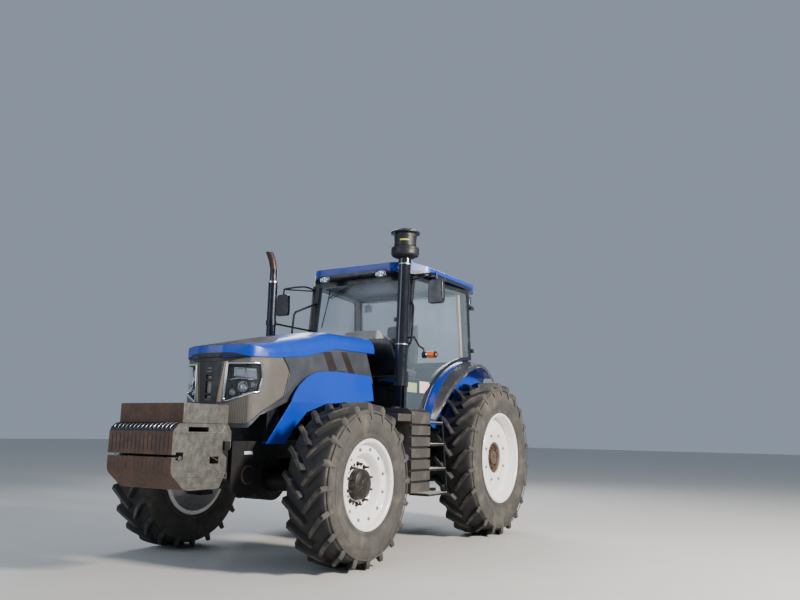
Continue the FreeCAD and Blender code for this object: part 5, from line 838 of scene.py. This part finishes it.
def cab_trim():
    """The roof's dark visor band, the wiper, the rear pillars' trims, the glass's labels and the latches."""
    rows = []
    for z in (2.852, 2.866, 2.880, 2.893):
        angles = [math.radians(-128 + 256 * step / 60) for step in range(61)]
        rows.append([Vector((1.9 * math.sin(angle), 1.0 - 1.9 * math.cos(angle), z)) for angle in angles])
    visor = draped(surface("roof"), rows, lambda point: (-point.x, 1.0 - point.y, 0), 0.0025)
    piece("roof_visor", [visor], DARK, sharp=50.0)
    # wiper: points' x, z and distance from the glass, then the radius
    wiper = [([(-0.110, 2.800, 0.016), (-0.405, 2.668, 0.016)], 0.005),
             ([(-0.090, 2.782, 0.014), (-0.395, 2.640, 0.014)], 0.004),
             ([(-0.424, 2.760, 0.010), (-0.440, 2.60, 0.009), (-0.486, 2.300, 0.010)], 0.006),
             ([(-0.385, 2.668, 0.014), (-0.432, 2.655, 0.012)], 0.007)]
    wiper = [pipe([screen(*point) for point in line], radius, 8) for line, radius in wiper]
    piece("wiper", wiper, RUBBER_AND_SHADOW)
    trims = []
    for side in (1, -1):
        verts = [Vector((side * x + a, y + b, z)) for x, y, z in ((0.745, 1.475, 2.02), (0.725, 1.425, 2.78))
                 for a, b in ((-0.018, -0.022), (0.018, -0.022), (0.018, 0.022), (-0.018, 0.022))]
        trims.append((verts, belt(4) + [[3, 2, 1, 0], [4, 5, 6, 7]]))
    bevelled(piece("pillar_trims", trims, TRIM_AND_HIGHLIGHT), 0.008, 3)
    glass_tree = surface("door_l_glass")
    # a label's lower and upper y and z, finish
    for number, (y, top_y, z, top_z, finish) in enumerate(((0.350, 0.515, 1.553, 1.655, GREEN),
                                                           (0.566, 0.728, 1.554, 1.678, PINK))):
        corners = [(1.2, y, z), (1.2, top_y, z), (1.2, top_y, top_z), (1.2, y, top_z)]
        label = draped(glass_tree, quad_rows(corners, 3, 3), (-1, 0, 0), 0.0012, 0.0005)
        piece("door_label_%d" % number, [label], finish, "door_l", sharp=60.0)
    grip = prism([(1.492, 2.092), (1.540, 2.092), (1.532, 2.182), (1.484, 2.182)], "x", 0.774, 0.802)
    for suffix, part in (("l", grip), ("r", mirrored(grip))):
        bevelled(piece("latch_" + suffix, [part], PLASTIC_AND_SHADE, "door_" + suffix), 0.008, 3)


def rounded(angle, power_u, power_v):
    """A point of a rounded rectangle of half size 1."""
    u, v = math.cos(angle), math.sin(angle)
    return math.copysign(abs(u) ** power_u, u), math.copysign(abs(v) ** power_v, v)


def lamp_trim():
    """Rings and bulbs of the roof's lamps, amber lenses with their rings, and the mirrors."""
    rings, bulbs = [], []
    lamp_y, lamp_z = 0.2235, 2.843
    for x in (-0.380, 0.380):
        loop = [rounded(math.radians(7.5 + 15 * k), 0.65, 0.8) for k in range(24)]
        rings.append(closed_pipe([Vector((x + a * 0.071, lamp_y, lamp_z + b * 0.033)) for a, b in loop], 0.0045, 8))
        for offset in (-0.032, 0.034):
            bulbs.append(lathe([(-0.002, 0.024), (-0.005, 0.021), (0.0, 0.016), (-0.006, 0.010), (-0.007, 0.0)],
                               (x + offset, lamp_y, lamp_z), (0, 1, 0), 24))
    piece("roof_lamp_rings", rings, RUBBER_AND_SHADOW)
    piece("roof_lamp_bulbs", bulbs, GLOW)
    lens = [(0.986, 0.0), (0.986, 0.0350), (1.062, 0.0345), (1.074, 0.031), (1.0795, 0.022), (1.0805, 0.0)]
    collar = [(0.976, 0.034), (0.976, 0.0368), (0.987, 0.0368), (0.987, 0.034)]
    for name, profile, finish in (("signal_lenses", lens, AMBER), ("signal_rings", collar, CHROME)):
        parts = [lathe([(side * x, r) for x, r in profile], (0, 0.230, 1.924), (1, 0, 0), 28) for side in (1, -1)]
        piece(name, parts, finish)
    # mirror arms: points and radius
    lines = [([(0.640, 0.4005, 2.760), (0.730, 0.305, 2.800), (1.000, 0.300, 2.7995), (1.036, 0.300, 2.780),
               (1.040, 0.300, 2.700)], 0.0105),
             ([(0.640, 0.4005, 2.755), (0.730, 0.305, 2.755), (0.980, 0.300, 2.786), (1.020, 0.300, 2.797)], 0.0085)]
    shells, arms, panes = [], [], []
    for side in (1, -1):
        outline = [rounded(2 * math.pi * k / 48, 0.32, 0.32) for k in range(48)]
        outline = [(side * 1.040 + a * 0.0895 * (1 - 0.05 * b), 2.600 + b * 0.1295) for a, b in outline]
        shells.append(prism(outline, "y", 0.2705, 0.3245))
        arms += [pipe(smooth_path([(side * x, y, z) for x, y, z in line], 4), radius) for line, radius in lines]
        panes.append(block((side * 1.040 - 0.080, 0.3245, 2.480), (side * 1.040 + 0.080, 0.3262, 2.720)))
    bevelled(piece("mirror_shells", shells, DARK, replaces=["mirrors"]), 0.012, 3, 50.0)
    piece("mirror_arms", arms, PLASTIC_AND_SHADE)
    bevelled(piece("mirror_glasses", panes, CHROME), 0.0006, 1)


def cushion(name, centre, half, up, seams):
    """A crowned pad: sides drawn in between its corners, sewn channels across it and a welt round it."""
    centre, up, across = Vector(centre), Vector(up), Vector((1, 0, 0))
    along = up.cross(across)
    count = 44
    spots = [(2 * i / count - 1, 2 * j / count - 1) for i in range(count + 1) for j in range(count + 1)]
    verts, rims = [], []
    for level in (1, -1):
        for u, v in spots:
            wide = half[0] * u * math.sqrt(1 - 0.16 * v * v) * (1 - 0.022 * (1 - v * v))
            deep = half[1] * v * math.sqrt(1 - 0.16 * u * u) * (1 - 0.022 * (1 - u * u))
            high = level * half[2] * ((1 - abs(u) ** 5) * (1 - abs(v) ** 5)) ** 0.42
            if level > 0:
                crown = 0.80 + 0.20 * (1 - u * u) * (1 - 0.5 * v * v)
                pinch = sum(math.exp(-((v if axis else u) - place) ** 2 / 0.0016) for axis, place in seams)
                high *= crown - 0.13 * min(pinch, 1.0)
            verts.append(centre + across * wide + along * deep + up * high)
            if level > 0 and max(abs(u), abs(v)) > 0.999:
                rims.append((math.atan2(v, u), verts[-1]))
    row = count + 1
    starts = [level * len(spots) + i * row + j for level in (0, 1) for i in range(count) for j in range(count)]
    faces = [[a, a + row, a + row + 1, a + 1] for a in starts]
    obj = piece(name, [(verts, faces)], CLOTH, replaces=["seat_pads"], sharp=60.0)
    work = bmesh.new()
    work.from_mesh(obj.data)
    bmesh.ops.remove_doubles(work, verts=work.verts, dist=0.0004)
    bmesh.ops.recalc_face_normals(work, faces=work.faces)
    work.to_mesh(obj.data)
    work.free()
    rims.sort(key=lambda entry: entry[0])
    welt = closed_pipe(thinned([spot for _, spot in rims], 0.008), 0.0045, 8)
    piece(name + "_welt", [welt], PLASTIC_AND_SHADE)


def stack_trim():
    """Clamp bands round the intake."""
    bands = []
    for z in (2.905, 2.035):
        y = 0.150 + 0.060 * (z - 1.66) / 1.315
        bands.append(hoop((INTAKE_X, y, z), (0, 0.060, 1.315), 0.0665, 0.0705, 0.006, 40))
    piece("stack_bands", bands, BAND)


def outer_trim():
    """Clamps of the exhaust, the cleaner's label and ribs, the steps' worn edges and the tank's cap."""
    clamps = [hoop((-0.600, -0.410, z), (0, 0, 1), 0.045, 0.0535, 0.009, 32) for z in (2.712, 2.262)]
    piece("stack_clamps", clamps, STEEL)
    angles = [math.radians(a) for a in range(-88, -38, 7)]
    rows = [[Vector((INTAKE_X + 0.3 * math.cos(a), INTAKE_Y + 0.3 * math.sin(a), z)) for a in angles]
            for z in (3.150, 3.158, 3.166)]
    label = draped(surface("pre_cleaner"), rows, lambda point: (INTAKE_X - point.x, INTAKE_Y - point.y, 0), 0.0016)
    piece("cleaner_label", [label], YELLOW, sharp=60.0)
    # height, inner and outer radius, half width
    ribs = [hoop((INTAKE_X, INTAKE_Y, z), (0, 0, 1), *sizes, 48) for z, *sizes in (
        (3.112, 0.118, 0.1235, 0.004), (3.205, 0.118, 0.1235, 0.004), (3.030, 0.15, 0.1535, 0.003),
        (3.062, 0.15, 0.1535, 0.003))]
    piece("cleaner_ribs", ribs, PLASTIC_AND_SHADE)
    edges = []
    for z in (0.520, 0.770, 1.020, 1.240):
        back = 0.558 - 0.125 * (z - 1.2797) / (1.2797 - 0.480)
        edges += [pipe([(0.762, 0.2715, z - 0.002), (0.983, 0.2715, z - 0.002)], 0.0035, 8),
                  pipe([(0.983, 0.272, z - 0.002), (0.983, back, z - 0.002)], 0.0035, 8)]
        for x in [0.762 + 0.221 * share for share in (0.2, 0.4, 0.6, 0.8)]:
            edges.append(pipe([(x, 0.285, z), (x, back - 0.02, z)], 0.003, 6))
    piece("step_edges", edges, EDGE)
    middle = Vector((INTAKE_X, 0.06, 1.364))
    cap = [lathe([(0.0, 0.046), (0.018, 0.046), (0.022, 0.042), (0.022, 0.0)], middle, (0, 0, 1), 36)]
    for angle in [2 * math.pi * index / 12 for index in range(12)]:
        spot = middle + Vector((0.046 * math.cos(angle), 0.046 * math.sin(angle), 0))
        cap.append(pipe([spot, spot + Vector((0, 0, 0.019))], 0.0032, 6))
    piece("tank_cap", cap, PLASTIC_AND_SHADE)


# Camera and studio

def camera():
    """The photograph's viewing place: low, ahead and to the tractor's left."""
    data = bpy.data.cameras.new("view")
    data.lens = 33.71
    data.sensor_width = 36.0
    obj = bpy.data.objects.new("view", data)
    scene.collection.objects.link(obj)
    azimuth, pitch, roll = math.radians(31.03), math.radians(10.06), math.radians(1.04)
    forward = Vector((-math.sin(azimuth) * math.cos(pitch), math.cos(azimuth) * math.cos(pitch), math.sin(pitch)))
    right = forward.cross(Vector((0, 0, 1))).normalized()
    up = right.cross(forward)
    turned_right = right * math.cos(roll) + up * math.sin(roll)
    turned_up = up * math.cos(roll) - right * math.sin(roll)
    rotation = Matrix((turned_right, turned_up, -forward)).transposed()
    obj.matrix_world = Matrix.Translation((4.7207, -6.5644, 1.1212)) @ rotation.to_4x4()
    scene.camera = obj


def studio():
    """A pale floor and soft light."""
    verts, faces = block((-60, -60, -0.02), (60, 60, 0))
    mesh = bpy.data.meshes.new("floor")
    mesh.from_pydata([tuple(v) for v in verts], [], faces)
    floor = bpy.data.objects.new("floor", mesh)
    scene.collection.objects.link(floor)
    mesh.materials.append(material("pale_floor", (0.60, 0.585, 0.56), 0.8, 0.97, depth=0.0001))
    world = bpy.data.worlds.new("sky")
    world.use_nodes = True
    feed(world.node_tree, world.node_tree.nodes["Background"], {0: (0.62, 0.74, 0.92, 1), 1: 0.42})
    scene.world = world
    # place, target, size, power, colour
    table = [((10.2, -0.6, 5.8), (0, -0.2, 1.0), 1.4, 2300, (1.0, 0.93, 0.84)),
             ((-4.0, -8.5, 4.5), (0, -1.0, 1.2), 5.0, 230, (0.82, 0.90, 1.0)),
             ((-3.5, 6.5, 6.0), (0, 0.8, 1.4), 4.0, 420, (0.92, 0.96, 1.0))]
    for number, (place, target, size, power, colour) in enumerate(table):
        data = bpy.data.lights.new("softbox_%d" % number, "AREA")
        data.energy = power
        data.size = size
        data.color = colour
        light = bpy.data.objects.new("softbox_%d" % number, data)
        scene.collection.objects.link(light)
        light.location = place
        light.rotation_euler = (Vector(target) - Vector(place)).to_track_quat("-Z", "Y").to_euler()


# CAD nodes whose own form shows, by body: node, finish, slot, edge radius; under "own" the body has the node's name
DRESSED = {
    "chassis": [
        ("weight_carrier", CAST, "chassis_black", 0.004),
        ("front_frame", CAST, "chassis_black", 0.005),
        ("front_axle", CAST, "chassis_black", 0.005),
        ("engine", CAST, "cast_dark", 0.006),
        ("radiator", DARK, "dark_plastic", 0.004),
        ("transmission", CAST, "chassis_black", 0.006),
        ("rear_axle", CAST, "chassis_black", 0.005),
        ("cab_tub", DARK, "cab_black", 0.004),
        ("cab_frame", DARK, "cab_black", 0.006),
        ("roof", BLUE, "blue_paint", 0.012),
        ("rear_fenders", BLUE, "blue_paint", 0.005),
        ("fender_flares", FENDER, "fender_plastic", 0.003),
        ("inner_guards", BLUE, "blue_paint", 0.004),
        ("exhaust_stack", STACK, "stack_steel", 0.003),
        ("intake_stack", DUCT, "dark_plastic", 0.003),
        ("pre_cleaner", PLASTIC_AND_SHADE, "dark_plastic", 0.003),
        ("grab_rails", DARK, "cab_black", 0.002),
        ("signals", PLASTIC_AND_SHADE, "amber_lens", 0.003),
        ("work_lamps", LAMP, "lamp_glass", 0.004),
        ("tanks", TANK, "tank_plastic", 0.008),
        ("steps", DARK, "step_steel", 0.003),
        ("dash", COWL, "dash_plastic", 0.010),
        ("seat_base", DARK, "cab_black", 0.006),
        ("hitch", CAST, "chassis_black", 0.003)],
    "hood": [
        ("hood_cap", BLUE, "hood_blue", 0.008),
        ("hood_sides", SILVER, "hood_grey", 0.004),
        ("nose_panel", MESH, "nose_grey", 0.003),
        ("grille", PLASTIC_AND_SHADE, "dark_plastic", 0.004),
        ("headlamps", LENS, "lamp_glass", 0.002)],
    "own": [
        ("door_l", DARK, "cab_black", 0.003),
        ("door_r", DARK, "cab_black", 0.003),
        ("knuckle_l", CAST, "chassis_black", 0.005),
        ("knuckle_r", CAST, "chassis_black", 0.005),
        ("steering_rod", STEEL, "bright_steel", 0.002),
        ("steering_wheel", PLASTIC_AND_SHADE, "dark_plastic", 0.003),
        ("lift_arms", CAST, "chassis_black", 0.004),
        ("lift_rods", CAST, "chassis_black", 0.003),
        ("top_link", CAST, "chassis_black", 0.003),
        ("lower_links", CAST, "chassis_black", 0.003)],
}
# Second finish of some of them: node, finish, test of a face's centre and normal
REPAINTED = [
    ("exhaust_stack", TIP, lambda centre, normal: centre.z > 2.84),
    ("tanks", RUBBER_AND_SHADOW, lambda centre, normal: 0.9 < abs(centre.x) < 0.985 and abs(normal.x) > 0.5),
    ("roof", DARK, lambda centre, normal: normal.z < -0.5),
    ("inner_guards", DARK, lambda centre, normal: abs(centre.x) < 0.40 and normal.z < -0.3),
]


camera()
studio()
for suffix, side in (("l", 1), ("r", -1)):
    tyre("f" + suffix, side)
    tyre("r" + suffix, side)
    rim("f" + suffix, side)
    front_hub("f" + suffix, side)
    rim("r" + suffix, side)
    rear_hub("r" + suffix, side)
# The panes keep their own flat form
for node in ("cab_glass", "door_l_glass", "door_r_glass"):
    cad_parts[node].data.materials.clear()
    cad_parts[node].data.materials.append(PANE)
for body, rows in DRESSED.items():
    for node, *look in rows:
        dressed(node, *look, node if body == "own" else body)
headlamp(1, "l")
headlamp(-1, "r")
nose_trim()
hood_trim()
ballast()
frame_trim()
fender_trim()
stack_trim()
for node, finish, test in REPAINTED:
    repaint(bpy.data.objects[node + "_look"], finish, test)
cab_trim()
lamp_trim()
outer_trim()
# middle, half sizes, upward direction, sewn channels: axis and place
cushion("seat_cushion", (0, 1.150, 1.8380), (0.238, 0.223, 0.061), (0, 0, 1), [(0, -0.52), (0, 0.52), (1, 0.45)])
cushion("seat_back", (0, 1.3535, 2.175), (0.228, 0.262, 0.051), (0, -1, 0),
        [(0, -0.5), (0, 0.5), (1, -0.35), (1, 0.3)])
